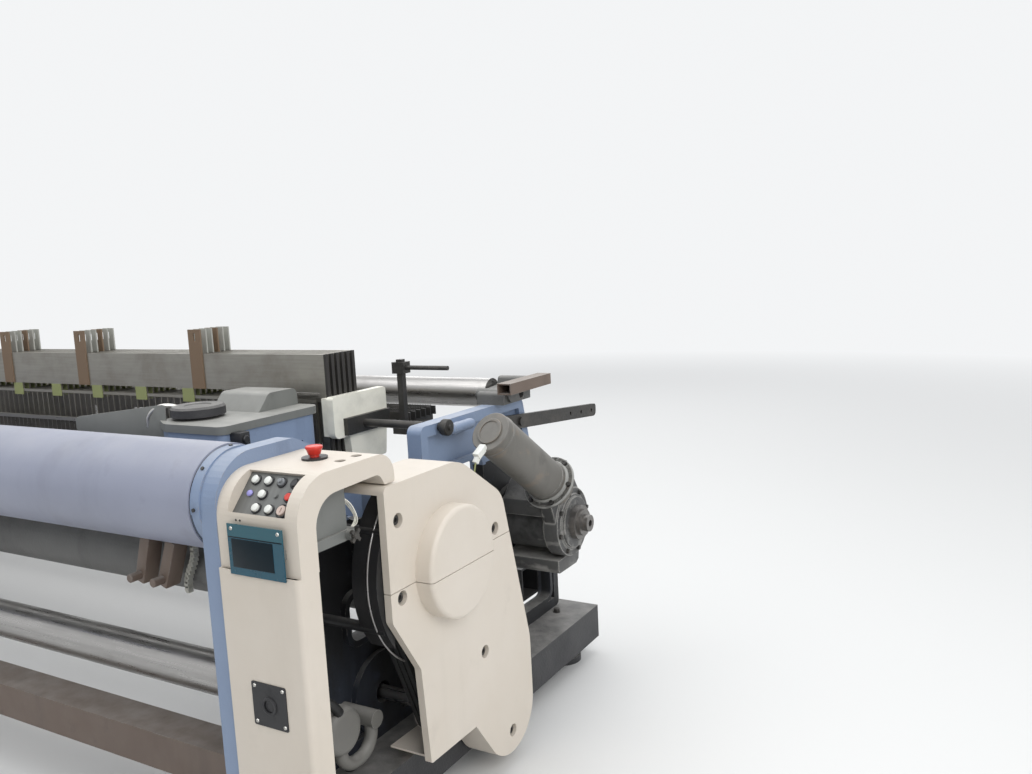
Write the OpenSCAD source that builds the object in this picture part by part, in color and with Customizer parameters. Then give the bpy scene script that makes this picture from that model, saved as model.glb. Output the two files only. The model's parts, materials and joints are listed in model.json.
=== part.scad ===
// Wide projectile power loom, bare of yarn and cloth.
// X runs along the weft to the operator's right, Y from the cloth side to the warp side, Z up.
// The origin is on the floor under the middle of the machine.
// Places along Y are given from the front of the machine, places along Z from the floor.

/* [Overall] */
// Length of a heald frame, which sets the width of the loom
heald_len = 3640; // [2400:20:4000]
// Gap from a heald frame's end to the side frame
side_gap = 260; // [250:5:400]
// Depth from the display window to the ends of the rear arms
loom_depth = 1920; // [1850:10:2200]

/* [Side frames] */
// Thickness of a cast side frame
side_t = 50; // [40:1:70]
// Height of the frame's lower edge, where it stands on the base casting
side_foot_z = 180; // [150:1:190]
// Distance of the frame's rear edge from the front
side_rear_y = 1560; // [1500:5:1620]
// Height of the rear part of the frame
side_back_z = 990; // [980:1:996]
// Height of the floor of the dip between the front and the rear part
dip_z = 800; // [790:1:810]
// Depth of the pocket between the ribs of the casting
side_pocket = 16; // [8:1:24]
// Width of the rib round the casting
side_rib = 34; // [24:1:40]

/* [Base castings] */
// Reach of a base casting outside the side frame
base_out = 140; // [100:5:160]
// Wall of a base casting
base_wall = 16; // [10:1:24]
// Height of the feet
foot_h = 60; // [40:1:90]
// Diameter of a foot
foot_d = 130; // [90:1:150]

/* [Breast tube and beams] */
// Diameter of the breast tube
tube_d = 251; // [220:1:252]
// Wall of the breast tube
tube_wall = 8; // [4:0.5:14]
// Height of the tube's axis
tube_z = 942; // [930:1:950]
// Length of the round flange between the tube and the side frame
flange_len = 30; // [16:1:40]
// Width and height of the lower front beam
front_beam_w = 100; // [60:1:110]
// Width and height of the lower rear beam
rear_beam_w = 120; // [80:1:160]
// Wall of the lower beams
beam_wall = 8; // [4:0.5:12]

/* [Control column] */
// Width of the control column
column_w = 235; // [225:1:250]
// Depth of the column's side
column_d = 62; // [50:1:66]
// Height of the lower end of the column panel
column_foot_z = 225; // [210:1:260]
// Height of the joint between column panel and control arch
arch_z = 820; // [800:1:826]
// Height of the top of the arch
arch_top_z = 1027; // [1020:1:1040]
// Reach of the arch from the front
arch_reach = 338; // [320:1:345]
// Wall of the painted mouldings
shell_wall = 4; // [3:0.5:6]
// Width of the keypad
keypad_w = 166; // [160:1:170]
// Length of the keypad along its slope
keypad_len = 105; // [100:1:106]
// Slope of the keypad
keypad_tilt = 48; // [46:1:50]
// Spacing of the button columns
button_pitch = 38; // [34:0.5:40]
// Diameter of a push button
button_d = 18; // [14:0.5:20]
// Travel of a push button
button_travel = 3; // [2:0.5:4]
// Diameter of the emergency stop button
estop_d = 40; // [34:1:46]
// Travel of the emergency stop button
estop_travel = 5; // [3:0.5:7]
// Width of the display window
window_w = 160; // [140:1:170]
// Height of the display window
window_h = 112; // [106:1:114]
// Side of the square socket plate
socket_w = 100; // [90:1:120]

/* [Drive covers] */
// Distance of the covers' outer face from the side frame
cover_reach = 245; // [238:1:260]
// Depth of the covers' turned edge
cover_return = 145; // [100:1:150]
// Wall of the covers
cover_wall = 5; // [3:0.5:8]
// Diameter of the round boss of the covers
boss_d = 290; // [260:1:300]
// Height of the round boss
boss_h = 50; // [30:1:60]
// Gap between the upper and the lower cover
cover_gap = 2; // [1:0.5:4]
// Height of that gap
cover_split_z = 693; // [688:1:700]
// Height of the top of the covers
cover_top_z = 950; // [940:1:950]

/* [Main drive] */
// Distance of the main shaft from the front
shaft_y = 524; // [518:1:530]
// Height of the main shaft
shaft_z = 705; // [698:1:712]
// Diameter of the main shaft
shaft_d = 60; // [50:1:66]
// Diameter of the flywheel pulley
pulley_d = 440; // [400:2:460]
// Diameter of the pulley guard
guard_d = 531; // [520:1:540]
// Width of the pulley rims
pulley_w = 60; // [50:1:62]
// Diameter of the motor pulley
motor_pulley_d = 130; // [100:1:150]
// Diameter of the main motor
motor_d = 210; // [180:1:220]
// Length of the main motor
motor_len = 300; // [240:5:360]

/* [Healds] */
// Spacing of the heald frames
heald_pitch = 24; // [22:0.5:26]
// Thickness of a heald frame's end stile
stile_t = 12; // [10:0.5:14]
// Distance of the first heald frame from the front
heald_y = 738; // [736:1:745]
// Height of the top of the heald frames
heald_top_z = 1204; // [1180:1:1230]
// Height of the upper bar of a heald frame
heald_bar_h = 116; // [90:1:130]
// Overall height of a heald frame
heald_h = 560; // [520:5:600]
// Spacing of the healds
heald_step = 32; // [30:1:60]
// Travel of a heald frame each way
heald_travel = 50; // [20:1:60]

/* [Sley] */
// Distance of the rocking shaft from the front
rock_y = 690; // [686:1:692]
// Height of the rocking shaft
rock_z = 480; // [470:1:490]
// Diameter of the rocking shaft
rock_d = 70; // [50:1:80]
// Length of the sley and the reed
sley_len = 2960; // [1800:20:3000]
// Height of the reed
reed_h = 135; // [120:1:140]
// Spacing of the reed's wires
reed_step = 25; // [24:1:40]
// Spacing of the projectile guides
guide_step = 74; // [60:1:100]

/* [Weft units] */
// Width of the receiving and picking units
unit_w = 280; // [240:5:300]
// Gap from the end of the sley to a weft unit
sley_gap = 70; // [50:1:80]
// Height of the top of the units' lids
unit_top_z = 1062; // [1058:1:1075]
// Height of the weft line
weft_z = 915; // [910:1:925]

/* [Warp side] */
// Distance of the back rest roller from the front
rest_y = 1300; // [1290:1:1310]
// Height of the back rest roller's axis
rest_z = 1012; // [1006:1:1020]
// Diameter of the back rest roller
rest_d = 100; // [80:1:110]
// Distance of the warp beam seat from the front
beam_y = 1260; // [1250:1:1270]
// Height of the warp beam seat
beam_z = 600; // [580:1:620]
// Bore of the warp beam seat
beam_bore = 130; // [100:1:150]
// Diameter of the let-off motor
letoff_d = 96; // [80:1:110]
// Length of the let-off motor
letoff_len = 261; // [220:1:280]

/* [Cloth side] */
// Diameter of the take-up roller
takeup_d = 150; // [120:1:170]
// Diameter of the cloth roller
cloth_d = 110; // [80:1:140]

/* [Hidden] */
$fn = 48;

// Colours
cream = [0.86, 0.83, 0.77];
pale_blue = [0.55, 0.62, 0.75];
lavender = [0.72, 0.74, 0.86];
dark_iron = [0.13, 0.13, 0.14];
grey_iron = [0.42, 0.42, 0.42];
lid_grey = [0.55, 0.56, 0.54];
bright_steel = [0.78, 0.78, 0.78];
bar_grey = [0.62, 0.62, 0.58];
black = [0.06, 0.06, 0.06];
teal = [0.10, 0.45, 0.52];
red = [0.82, 0.16, 0.12];
brown = [0.48, 0.40, 0.34];

// Working clearances
run_gap = 0.05;   // between a shaft and its bearing
slide_gap = 0.3;  // between a guided piece and its guide
free_gap = 6;     // between pieces that pass each other
cut = 1;          // how far a cutter reaches past a face
arc_step = 8;     // degrees turned by one facet of a rounded corner

// Main planes
trim = 4;
seam = 3;
front_y = -loom_depth / 2 + trim;
in_x = heald_len / 2 + side_gap;
out_x = in_x + side_t;
cover_x = out_x + cover_reach;
tube_r = tube_d / 2;
tube_y = tube_r;
side_top_r = tube_r - 8;
side_front = tube_y - side_top_r;

// Plane geometry

function unit(v) = v / norm(v);

// Points of an arc that rounds corner b between a and c
function corner_arc(a, b, c, r) =
    let (u = unit(a - b), v = unit(c - b),
         half = acos(max(-1, min(1, u * v))) / 2,
         m = b + unit(u + v) * r / sin(half),
         p = b + u * r / tan(half) - m,
         q = b + v * r / tan(half) - m,
         a0 = atan2(p.y, p.x),
         turn = atan2(q.y, q.x) - a0,
         sweep = turn > 180 ? turn - 360 : turn < -180 ? turn + 360 : turn,
         n = max(3, ceil(abs(sweep) / arc_step)))
    [for (i = [0:n]) m + r * [cos(a0 + sweep * i / n), sin(a0 + sweep * i / n)]];

// Outline through corners [y, z, radius]
function rounded(c) =
    let (n = len(c))
    [for (i = [0:n - 1])
        let (a = c[(i + n - 1) % n], b = c[i], d = c[(i + 1) % n])
        each (b[2] <= 0 ? [[b[0], b[1]]]
            : corner_arc([a[0], a[1]], [b[0], b[1]], [d[0], d[1]], b[2]))];

// The same outline moved inwards by w; the corners run anticlockwise
function inset(c, w) =
    let (n = len(c))
    [for (i = [0:n - 1])
        let (a = c[(i + n - 1) % n], b = c[i], d = c[(i + 1) % n],
             e = unit([b[0] - a[0], b[1] - a[1]]),
             f = unit([d[0] - b[0], d[1] - b[1]]),
             ne = [-e.y, e.x], nf = [-f.y, f.x],
             left = e.x * f.y - e.y * f.x > 0,
             s = w / (1 + ne * nf))
        [b[0] + s * (ne.x + nf.x), b[1] + s * (ne.y + nf.y),
         b[2] <= 0 ? 0 : left ? max(b[2] - w, 0.5) : b[2] + w]];

function box_corners(y0, y1, z0, z1, r) = [[y0, z0, r], [y1, z0, r], [y1, z1, r], [y0, z1, r]];

// Extrude a plane outline (distance from the front, height) along X
module along_x(x0, width)
    translate([x0, front_y, 0]) rotate([90, 0, 90]) linear_extrude(width) children();

module rod_x(x0, width, y, z, d)
    translate([x0, front_y + y, z]) rotate([0, 90, 0]) cylinder(h = width, d = d);

module block(x0, x1, y0, y1, z0, z1)
    translate([x0, front_y + y0, z0]) cube([x1 - x0, y1 - y0, z1 - z0]);

module both_sides() {
    children();
    mirror([1, 0, 0]) children();
}

// Side frames

beam_boss_d = beam_bore + 80;
rock_boss_d = rock_d + 50;
shaft_boss_d = shaft_d + 80;
roller_pin_d = 40;
roller_boss_d = roller_pin_d + 40;
takeup_y = 240;
takeup_z = 720;
cloth_y = 230;
cloth_z = 420;
motor_y = 520;
motor_z = 300;
motor_shaft_d = 38;
dip_front = 420;
dip_rear = heald_y + 30;

side_corners = [
    [side_front, tube_z + side_top_r, side_top_r],
    [side_front, side_foot_z, 6],
    [side_rear_y, side_foot_z, 20],
    [side_rear_y, side_back_z - 260, 60],
    [rest_y + 110, side_back_z - 200, 60],
    [rest_y + 60, side_back_z, 30],
    [dip_rear, side_back_z, 24],
    [dip_rear, dip_z, 40],
    [dip_front, dip_z, 60],
    [dip_front - 30, tube_z + 50, 30],
    [side_front + 2 * side_top_r + 20, tube_z + side_top_r, 60]
];

side_windows = [
    [70, 250, 490, 620],
    [70, 180, side_foot_z + 50, 345],
    [410, 590, 480, 600],
    [870, beam_y - beam_boss_d / 2 - 65, side_foot_z + 60, side_back_z - 150],
    [beam_y - 70, side_rear_y - 60, side_foot_z + 50, beam_z - beam_boss_d / 2 - 40]
];

bearing_seats = [
    [shaft_y, shaft_z, shaft_boss_d], [rock_y, rock_z, rock_boss_d],
    [takeup_y, takeup_z, roller_boss_d], [cloth_y, cloth_z, roller_boss_d],
    [beam_y, beam_z, beam_boss_d]
];

module window_shape(w, grow = 0)
    polygon(rounded(box_corners(w[0] - grow, w[1] + grow, w[2] - grow, w[3] + grow, 30 + grow)));

module side_casting() {
    difference() {
        union() {
            difference() {
                along_x(in_x, side_t) polygon(rounded(side_corners));
                along_x(out_x - side_pocket, side_pocket + cut) difference() {
                    polygon(rounded(inset(side_corners, side_rib)));
                    for (w = side_windows) window_shape(w, side_rib / 2);
                    for (b = bearing_seats) translate([b[0], b[1]]) circle(d = b[2]);
                    translate([motor_y, motor_z]) circle(d = motor_d + 20);
                }
            }
            rod_x(in_x - flange_len, flange_len + cut, tube_y, tube_z, 2 * (side_top_r + 4));
        }
        along_x(in_x - cut, side_t + 2 * cut) for (w = side_windows) window_shape(w);
        rod_x(in_x - cut, side_t + 2 * cut, rock_y, rock_z, rock_d + 2 * run_gap);
        rod_x(in_x - cut, side_t + 2 * cut, takeup_y, takeup_z, roller_pin_d + 2 * run_gap);
        rod_x(in_x - cut, side_t + 2 * cut, cloth_y, cloth_z, roller_pin_d + 2 * run_gap);
        rod_x(in_x - cut, side_t + 2 * cut, beam_y, beam_z, beam_bore);
    }
}

module side_frame_right() color(pale_blue) difference() {
    side_casting();
    rod_x(in_x - cut, side_t + 2 * cut, shaft_y, shaft_z, shaft_d + 2 * run_gap);
    rod_x(in_x - cut, side_t + 2 * cut, motor_y, motor_z, motor_shaft_d + 20);
}

module side_frame_left() color(pale_blue) mirror([1, 0, 0]) side_casting();

// Base castings: a channel open underneath, with two feet

base_front = 20;
base_rear = side_rear_y + 40;
foot_inset = 110;

module base_casting() {
    difference() {
        block(in_x, out_x + base_out, base_front, base_rear, foot_h, side_foot_z);
        difference() {
            block(in_x + base_wall, out_x + base_out - base_wall,
                  base_front + base_wall, base_rear - base_wall, foot_h - cut, side_foot_z - base_wall);
            for (i = [1:4]) {
                rib_y = base_front + i * (base_rear - base_front) / 5;
                block(in_x, out_x + base_out, rib_y - base_wall / 2, rib_y + base_wall / 2, foot_h, side_foot_z);
            }
            for (y = [base_front + foot_inset, base_rear - foot_inset])
                translate([in_x + (side_t + base_out) / 2, front_y + y, foot_h])
                    cylinder(h = side_foot_z, d = foot_d);
        }
    }
    for (y = [base_front + foot_inset, base_rear - foot_inset])
        translate([in_x + (side_t + base_out) / 2, front_y + y, 0]) {
            cylinder(h = foot_h / 3, d = foot_d);
            cylinder(h = foot_h + cut, d = foot_d / 3);
        }
}

module base_right() color(dark_iron) base_casting();

module base_left() color(dark_iron) mirror([1, 0, 0]) base_casting();

// Breast tube and lower beams

module breast_tube() color(lavender) difference() {
    rod_x(flange_len - in_x, 2 * (in_x - flange_len), tube_y, tube_z, tube_d);
    rod_x(flange_len - in_x - cut, 2 * (in_x - flange_len + cut), tube_y, tube_z, tube_d - 2 * tube_wall);
}

module box_beam(y, z, w) difference() {
    block(-in_x, in_x, y, y + w, z, z + w);
    block(-in_x - cut, in_x + cut, y + beam_wall, y + w - beam_wall, z + beam_wall, z + w - beam_wall);
}

module front_beam() color(brown) box_beam(90, side_foot_z + 20, front_beam_w);

module rear_beam() color(dark_iron) box_beam(side_rear_y - 60 - rear_beam_w, side_foot_z + 60, rear_beam_w);

ring_r = side_top_r + 4;
flange_bolt_d = 9;
flange_bolt_head = 3;

module flange_bolts() color(dark_iron) both_sides()
    for (i = [0:7])
        translate([in_x - flange_len / 2, front_y + tube_y, tube_z]) rotate([45 * i, 0, 0])
            translate([0, 0, ring_r]) cylinder(h = flange_bolt_head, d = flange_bolt_d);

// Control column: a folded front panel, open behind

socket_x = out_x + 121;
socket_z = arch_z - 295;
panel_corner_r = 14;

module column_panel() color(cream) {
    w = shell_wall;
    plan = [[0, 0, w], [column_w, 0, panel_corner_r], [column_w, column_d, 0], [0, column_d, 0]];
    room = [[w, w, 1], [column_w - w, w, panel_corner_r - w],
            [column_w - w, column_d + cut, 0], [w, column_d + cut, 0]];
    difference() {
        translate([out_x, front_y, column_foot_z])
            linear_extrude(arch_z - column_foot_z) polygon(rounded(plan));
        translate([out_x, front_y, column_foot_z + w])
            linear_extrude(arch_z - column_foot_z) polygon(rounded(room));
        translate([socket_x, front_y - cut, socket_z]) rotate([-90, 0, 0])
            cylinder(h = w + 2 * cut, d = socket_w * 0.72);
        block(out_x + 24, out_x + 50, -cut, w + cut, column_foot_z + 48, column_foot_z + 54);
    }
}

socket_plate_t = 2;

module socket_plate() color(black) {
    s = socket_w / 2;
    translate([socket_x, front_y, socket_z]) rotate([90, 0, 0]) difference() {
        linear_extrude(socket_plate_t) polygon(rounded([[-s, -s, 4], [s, -s, 4], [s, s, 4], [-s, s, 4]]));
        translate([0, 0, socket_plate_t / 2]) cylinder(h = socket_plate_t, d = socket_w * 0.3);
    }
    translate([socket_x, front_y, socket_z]) rotate([-90, 0, 0])
        cylinder(h = column_d * 0.6, d = socket_w * 0.6);
}

// Control arch: a hollow moulding bent over the column

arch_front = 9;
arch_leg = arch_front + 55;
arch_arm = 48;

arch_corners = [
    [arch_front, arch_top_z, 100],
    [arch_front, arch_z, 0],
    [arch_leg, arch_z, 0],
    [arch_leg, arch_top_z - arch_arm - 4, 70],
    [arch_reach - 54, arch_top_z - arch_arm + 3, 25],
    [arch_reach - 38, cover_top_z + seam, 4],
    [arch_reach, cover_top_z + seam, 6],
    [arch_reach, arch_top_z, 55]
];

keypad_t = 3;
keypad_x = out_x + (column_w - keypad_w) / 2;
keypad_front = arch_front + 11;
keypad_z = arch_top_z - 10 - keypad_len * sin(keypad_tilt);
keypad_ledge = 6;
estop_x = out_x + 115;
estop_y = 205;
plug_hole_d = 26;
window_x = out_x + 43;
window_z = arch_z - 6;

// Children stand on the sloping keypad: X across, Y up the slope, Z away from it
module on_keypad(u = 0, v = 0)
    translate([keypad_x, front_y + keypad_front, keypad_z]) rotate([keypad_tilt, 0, 0])
        translate([u, v, 0]) children();

module keypad_space(grow, low, high)
    on_keypad(-grow, -grow) translate([0, 0, low])
        cube([keypad_w + 2 * grow, keypad_len + 2 * grow, high - low]);

module control_arch() color(cream) difference() {
    along_x(out_x, column_w) polygon(rounded(arch_corners));
    difference() {
        along_x(out_x + shell_wall, column_w - 2 * shell_wall)
            polygon(rounded(inset(arch_corners, shell_wall)));
        keypad_space(shell_wall, -keypad_t - shell_wall, 80);
    }
    keypad_space(0, -keypad_t, 80);
    keypad_space(-keypad_ledge, -keypad_t - shell_wall - cut, 0);
    block(window_x + 14, window_x + window_w - 14, arch_front - cut, arch_front + shell_wall + cut,
          arch_z + 12, window_z + window_h - 14);
    translate([estop_x, front_y + estop_y, arch_top_z - shell_wall - cut])
        cylinder(h = shell_wall + 2 * cut, d = estop_d * 0.7);
    for (y = [estop_y, estop_y + 56])
        translate([out_x + 190, front_y + y, arch_top_z - shell_wall - cut])
            cylinder(h = shell_wall + 2 * cut, d = plug_hole_d);
}

// Keypad: a sheet with a guide cup under each button

button_columns = [for (i = [0:3]) keypad_w / 2 + (i - 1.5) * button_pitch];
button_rows = [for (j = [0:2]) keypad_len / 2 + (j - 1) * 33];
cup_d = button_d + 2 * slide_gap;
cup_wall = 2;
cup_depth = 20;
bezel_h = 1.5;
key_d = button_d + 4;
key_place = [button_columns[3], button_rows[0]];
button_places = [
    [button_columns[0], button_rows[2]], [button_columns[1], button_rows[2]],
    [button_columns[2], button_rows[2]], [button_columns[3], button_rows[2]],
    [button_columns[1], button_rows[1]], [button_columns[3], button_rows[1]],
    [button_columns[1], button_rows[0]], [button_columns[2], button_rows[0]]
];
lamp_places = [[button_columns[0], button_rows[1]], [button_columns[2], button_rows[1]]];
lamp_d = 9;

module keypad_plate() color(grey_iron) difference() {
    union() {
        on_keypad() translate([slide_gap, slide_gap, -keypad_t])
            cube([keypad_w - 2 * slide_gap, keypad_len - 2 * slide_gap, keypad_t]);
        for (p = button_places) on_keypad(p[0], p[1]) {
            cylinder(h = bezel_h, d = cup_d + 2 * cup_wall);
            translate([0, 0, -keypad_t - cup_depth]) cylinder(h = cup_depth + cut, d = cup_d + 2 * cup_wall);
        }
        on_keypad(key_place[0], key_place[1]) {
            cylinder(h = bezel_h, d = key_d + 4);
            translate([0, 0, -keypad_t - cup_depth]) cylinder(h = cup_depth + cut, d = cup_d + 2 * cup_wall);
        }
        for (p = lamp_places) on_keypad(p[0], p[1]) {
            cylinder(h = bezel_h, d = lamp_d + 3);
            cylinder(h = bezel_h + 2, d = lamp_d);
        }
    }
    for (p = concat(button_places, [key_place])) on_keypad(p[0], p[1])
        translate([0, 0, -keypad_t - cup_depth + cup_wall]) cylinder(h = cup_depth + keypad_t + 4 * cut, d = cup_d);
}

button_rise = 7;

module push_button(i, tint) color(tint) on_keypad(button_places[i][0], button_places[i][1]) {
    skirt = cup_depth + keypad_t - cup_wall - button_travel - 1;
    rotate_extrude() polygon([
        [0, -skirt], [button_d / 2, -skirt], [button_d / 2, button_rise - 2],
        [button_d / 2 - 0.6, button_rise - 0.6], [button_d / 2 - 2, button_rise], [0, button_rise]]);
}

module key_switch() color(red) on_keypad(key_place[0], key_place[1]) difference() {
    union() {
        translate([0, 0, bezel_h + slide_gap]) cylinder(h = 6, d = key_d);
        translate([0, 0, -cup_depth / 2]) cylinder(h = cup_depth / 2 + 3, d = button_d);
    }
    translate([-1.5, -key_d / 4, bezel_h + 4]) cube([3, key_d / 2, 6]);
}

// Emergency stop: a fixed ring and a mushroom button

estop_ring_h = 5;
estop_stem_d = estop_d * 0.62;
estop_head_z = estop_ring_h + estop_travel + 8;

module estop_ring() color(black) translate([estop_x, front_y + estop_y, arch_top_z]) difference() {
    union() {
        cylinder(h = estop_ring_h, d = estop_d * 1.5);
        translate([0, 0, -shell_wall - 12]) cylinder(h = shell_wall + 13, d = estop_d * 0.7 - 2 * slide_gap);
    }
    translate([0, 0, -shell_wall - 12 - cut])
        cylinder(h = shell_wall + 20 + estop_ring_h, d = estop_stem_d - 2);
}

module estop_button() color(red) translate([estop_x, front_y + estop_y, arch_top_z])
    rotate_extrude() polygon(concat(
        [[0, -10], [estop_stem_d / 2 - 1 - slide_gap, -10], [estop_stem_d / 2 - 1 - slide_gap, estop_ring_h + estop_travel + slide_gap],
         [estop_d / 2 - 6, estop_head_z - 3], [estop_d / 2, estop_head_z]],
        [for (a = [0:15:90]) [estop_d / 2 - 5 + 5 * cos(a), estop_head_z + 7 + 5 * sin(a)]],
        [[0, estop_head_z + 12]]));

// Display: a tinted window in front of the screen, and the terminal behind it

window_t = 3;

module display_window() color(teal) difference() {
    block(window_x, window_x + window_w, -trim, -trim + window_t, window_z, window_z + window_h);
    for (x = [window_x + 12, window_x + window_w - 12])
        translate([x, front_y - trim - cut, window_z + window_h - 10]) rotate([-90, 0, 0])
            cylinder(h = window_t + 2 * cut, d = 4);
}

terminal_corners = [
    [arch_leg, arch_z + 50, 0], [arch_leg + 142, arch_z + 50, 4],
    [arch_leg + 142, arch_top_z - arch_arm - 10, 4], [arch_leg + 70, arch_top_z - arch_arm - 10, 4],
    [arch_leg, arch_top_z - arch_arm - 76, 0]
];

module terminal_box() color(lid_grey) {
    along_x(out_x + 10, 184) polygon(rounded(terminal_corners));
    block(out_x + 4, out_x + 200, arch_leg, arch_leg + 160, arch_z + 26, arch_z + 50);
    rod_x(out_x + 170, 46, arch_leg + 138, arch_z + 38, 24);
    block(window_x + 6, window_x + window_w - 6, arch_front + shell_wall, arch_front + shell_wall + 22,
          arch_z + 4, window_z + window_h - 8);
    block(window_x + 4, window_x + 10, -trim + window_t, arch_front, arch_z + 40, arch_z + 60);
    block(window_x + window_w - 10, window_x + window_w - 4, -trim + window_t, arch_front, arch_z + 40, arch_z + 60);
}

// Drive covers

cover_corners = [
    [281, cover_top_z, 14],
    [281, 623, 25],
    [377, 470, 20],
    [394, 214, 6],
    [602, 211, 4],
    [719, 47, 128],
    [913, 47, 128],
    [913, 350, 200],
    [797, 812, 90],
    [594, cover_top_z, 150]
];
cover_lip = 20;
pocket_d = 36;
pocket_depth = 18;
pocket_wall = 4;
bolt_d = 12;
bolt_head_d = 24;
boss_fillet = 12;
cover_bolt_places = [[327, 861], [324, 672], [752, 722], [667, 398], [790, 109]];
guard_face = cover_reach - pocket_depth - pocket_wall;

function boss_profile(r, h, f) = concat(
    [[0, -cover_wall - cut], [r, -cover_wall - cut], [r, h - f]],
    [for (a = [0:15:90]) [r - f + f * cos(a), h - f + f * sin(a)]],
    [[0, h]]);

module boss_solid(r, h, f)
    translate([cover_x, front_y + shaft_y, shaft_z + 0]) rotate([0, 90, 0])
        rotate_extrude($fn = 96) polygon(boss_profile(r, h, f));

module cover_shell() difference() {
    union() {
        difference() {
            along_x(cover_x - cover_return, cover_return) polygon(rounded(cover_corners));
            along_x(cover_x - cover_return - cut, cover_return - cover_wall + cut)
                polygon(rounded(inset(cover_corners, cover_wall)));
            block(cover_x - cover_return - cut, cover_x - cover_lip,
                  cover_corners[0][0] - cut, cover_corners[3][0] + 20,
                  cover_corners[3][1] - 10, cover_corners[0][1] - 20);
            block(cover_x - cover_return - cut, out_x + base_out + free_gap, 0, side_rear_y,
                  0, side_foot_z + free_gap);
        }
        boss_solid(boss_d / 2, boss_h, boss_fillet);
        for (p = cover_bolt_places)
            rod_x(cover_x - pocket_depth - pocket_wall, pocket_depth, p[0], p[1], pocket_d + 2 * pocket_wall);
    }
    boss_solid(boss_d / 2 - cover_wall, boss_h - cover_wall, boss_fillet - cover_wall);
    for (p = cover_bolt_places) {
        rod_x(cover_x - pocket_depth, pocket_depth + cut, p[0], p[1], pocket_d);
        rod_x(cover_x - 60, 60, p[0], p[1], bolt_d + 2);
    }
}

module cover_half(z0, z1) intersection() {
    cover_shell();
    block(out_x, cover_x + boss_h + cut, 0, side_rear_y, z0, z1);
}

module cover_upper() color(cream) cover_half(cover_split_z + cover_gap / 2, cover_top_z + free_gap);

module cover_lower() color(cream) cover_half(0, cover_split_z - cover_gap / 2);

module left_cover() color(cream) mirror([1, 0, 0]) cover_shell();

// Shoulder bolts: a long spacer from the casting, a shank and a socket head

module shoulder_bolt(p, start) {
    seat = cover_x - pocket_depth;
    rod_x(start, out_x + guard_face - start, p[0], p[1], bolt_head_d + 2);
    rod_x(out_x + guard_face - cut, pocket_wall + 2 * cut, p[0], p[1], bolt_d);
    difference() {
        rod_x(seat, 10, p[0], p[1], bolt_head_d);
        rod_x(seat + 5, 10, p[0], p[1], bolt_d);
    }
}

module guard_bolt(p) {
    rod_x(out_x + guard_face - guard_plate, guard_plate + pocket_wall + cut, p[0], p[1], bolt_d);
    difference() {
        rod_x(cover_x - pocket_depth, 10, p[0], p[1], bolt_head_d);
        rod_x(cover_x - pocket_depth + 5, 10, p[0], p[1], bolt_d);
    }
}

module cover_bolts() color(dark_iron) {
    for (i = [0:2]) guard_bolt(cover_bolt_places[i]);
    shoulder_bolt(cover_bolt_places[3], out_x - side_pocket);
    shoulder_bolt(cover_bolt_places[4], out_x + base_out);
    mirror([1, 0, 0]) {
        for (i = [0:3]) shoulder_bolt(cover_bolt_places[i], out_x - side_pocket);
        shoulder_bolt(cover_bolt_places[4], out_x + base_out);
    }
}

// Pulley guard: a drum with an open mouth for the belts, on three legs

guard_plate = 6;
guard_depth = 74;
guard_leg_d = 26;
guard_leg_r = guard_d / 2 - 10;

// Round outline, cut back where the cover is closer than the drum is wide
module guard_outline(grow) intersection() {
    translate([shaft_y, shaft_z]) circle(r = guard_d / 2 - grow, $fn = 96);
    union() {
        polygon(rounded(inset(cover_corners, cover_wall + free_gap + grow)));
        translate([0, cover_corners[3][1] + grow])
            square([cover_corners[1][0] + 30, cover_top_z - 20 - cover_corners[3][1] - free_gap - 2 * grow]);
    }
}

module pulley_guard() color(dark_iron) {
    back = out_x + guard_face - guard_depth;
    legs = [for (a = [150, 205, 335]) [shaft_y + guard_leg_r * cos(a), shaft_z + guard_leg_r * sin(a)]];
    difference() {
        union() {
            along_x(back, guard_depth) guard_outline(0);
            for (p = legs)
                rod_x(out_x - side_pocket, side_pocket + guard_face - guard_plate, p[0], p[1], guard_leg_d);
        }
        difference() {
            along_x(back - cut, guard_depth - guard_plate + cut) guard_outline(guard_plate);
            for (p = legs) rod_x(out_x, guard_face, p[0], p[1], guard_leg_d);
        }
        rod_x(out_x, guard_face + cut, shaft_y, shaft_z, guard_d - 175);
        block(back - cut, cover_x, motor_y - 190, motor_y + 190, shaft_z - guard_d, shaft_z - 150);
        for (i = [0:2])
            rod_x(back, cover_reach, cover_bolt_places[i][0], cover_bolt_places[i][1], bolt_d + 2 * slide_gap);
    }
}

// Main drive

belt_count = 3;
belt_w = 13;
belt_h = 9;
belt_pitch = 18;
pulley_x = out_x + guard_face - guard_plate - free_gap - pulley_w;

function groove_x(i) = pulley_x + pulley_w / 2 + (i - (belt_count - 1) / 2) * belt_pitch;

module grooved_rim(d, rim) difference() {
    rod_x(pulley_x, pulley_w, 0, 0, d, $fn = 96);
    rod_x(pulley_x - cut, pulley_w + 2 * cut, 0, 0, d - 2 * rim);
    for (i = [0:belt_count - 1]) difference() {
        rod_x(groove_x(i) - belt_w / 2 - slide_gap, belt_w + 2 * slide_gap, 0, 0, d + 2, $fn = 96);
        rod_x(groove_x(i) - belt_w / 2 - cut, belt_w + 2 * cut, 0, 0, d - 2 * belt_h, $fn = 96);
    }
}

module flywheel_pulley() color(bright_steel) translate([0, shaft_y, shaft_z]) {
    grooved_rim(pulley_d, 26);
    difference() {
        rod_x(pulley_x + pulley_w / 2 - 8, 16, 0, 0, pulley_d - 50);
        for (a = [0:60:300])
            rod_x(pulley_x, pulley_w, 130 * cos(a), 130 * sin(a), 80);
    }
    rod_x(pulley_x - 10, pulley_w + 16, 0, 0, shaft_d + 60);
    rod_x(in_x - 60, side_t + cover_reach + 80, 0, 0, shaft_d);
}

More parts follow.
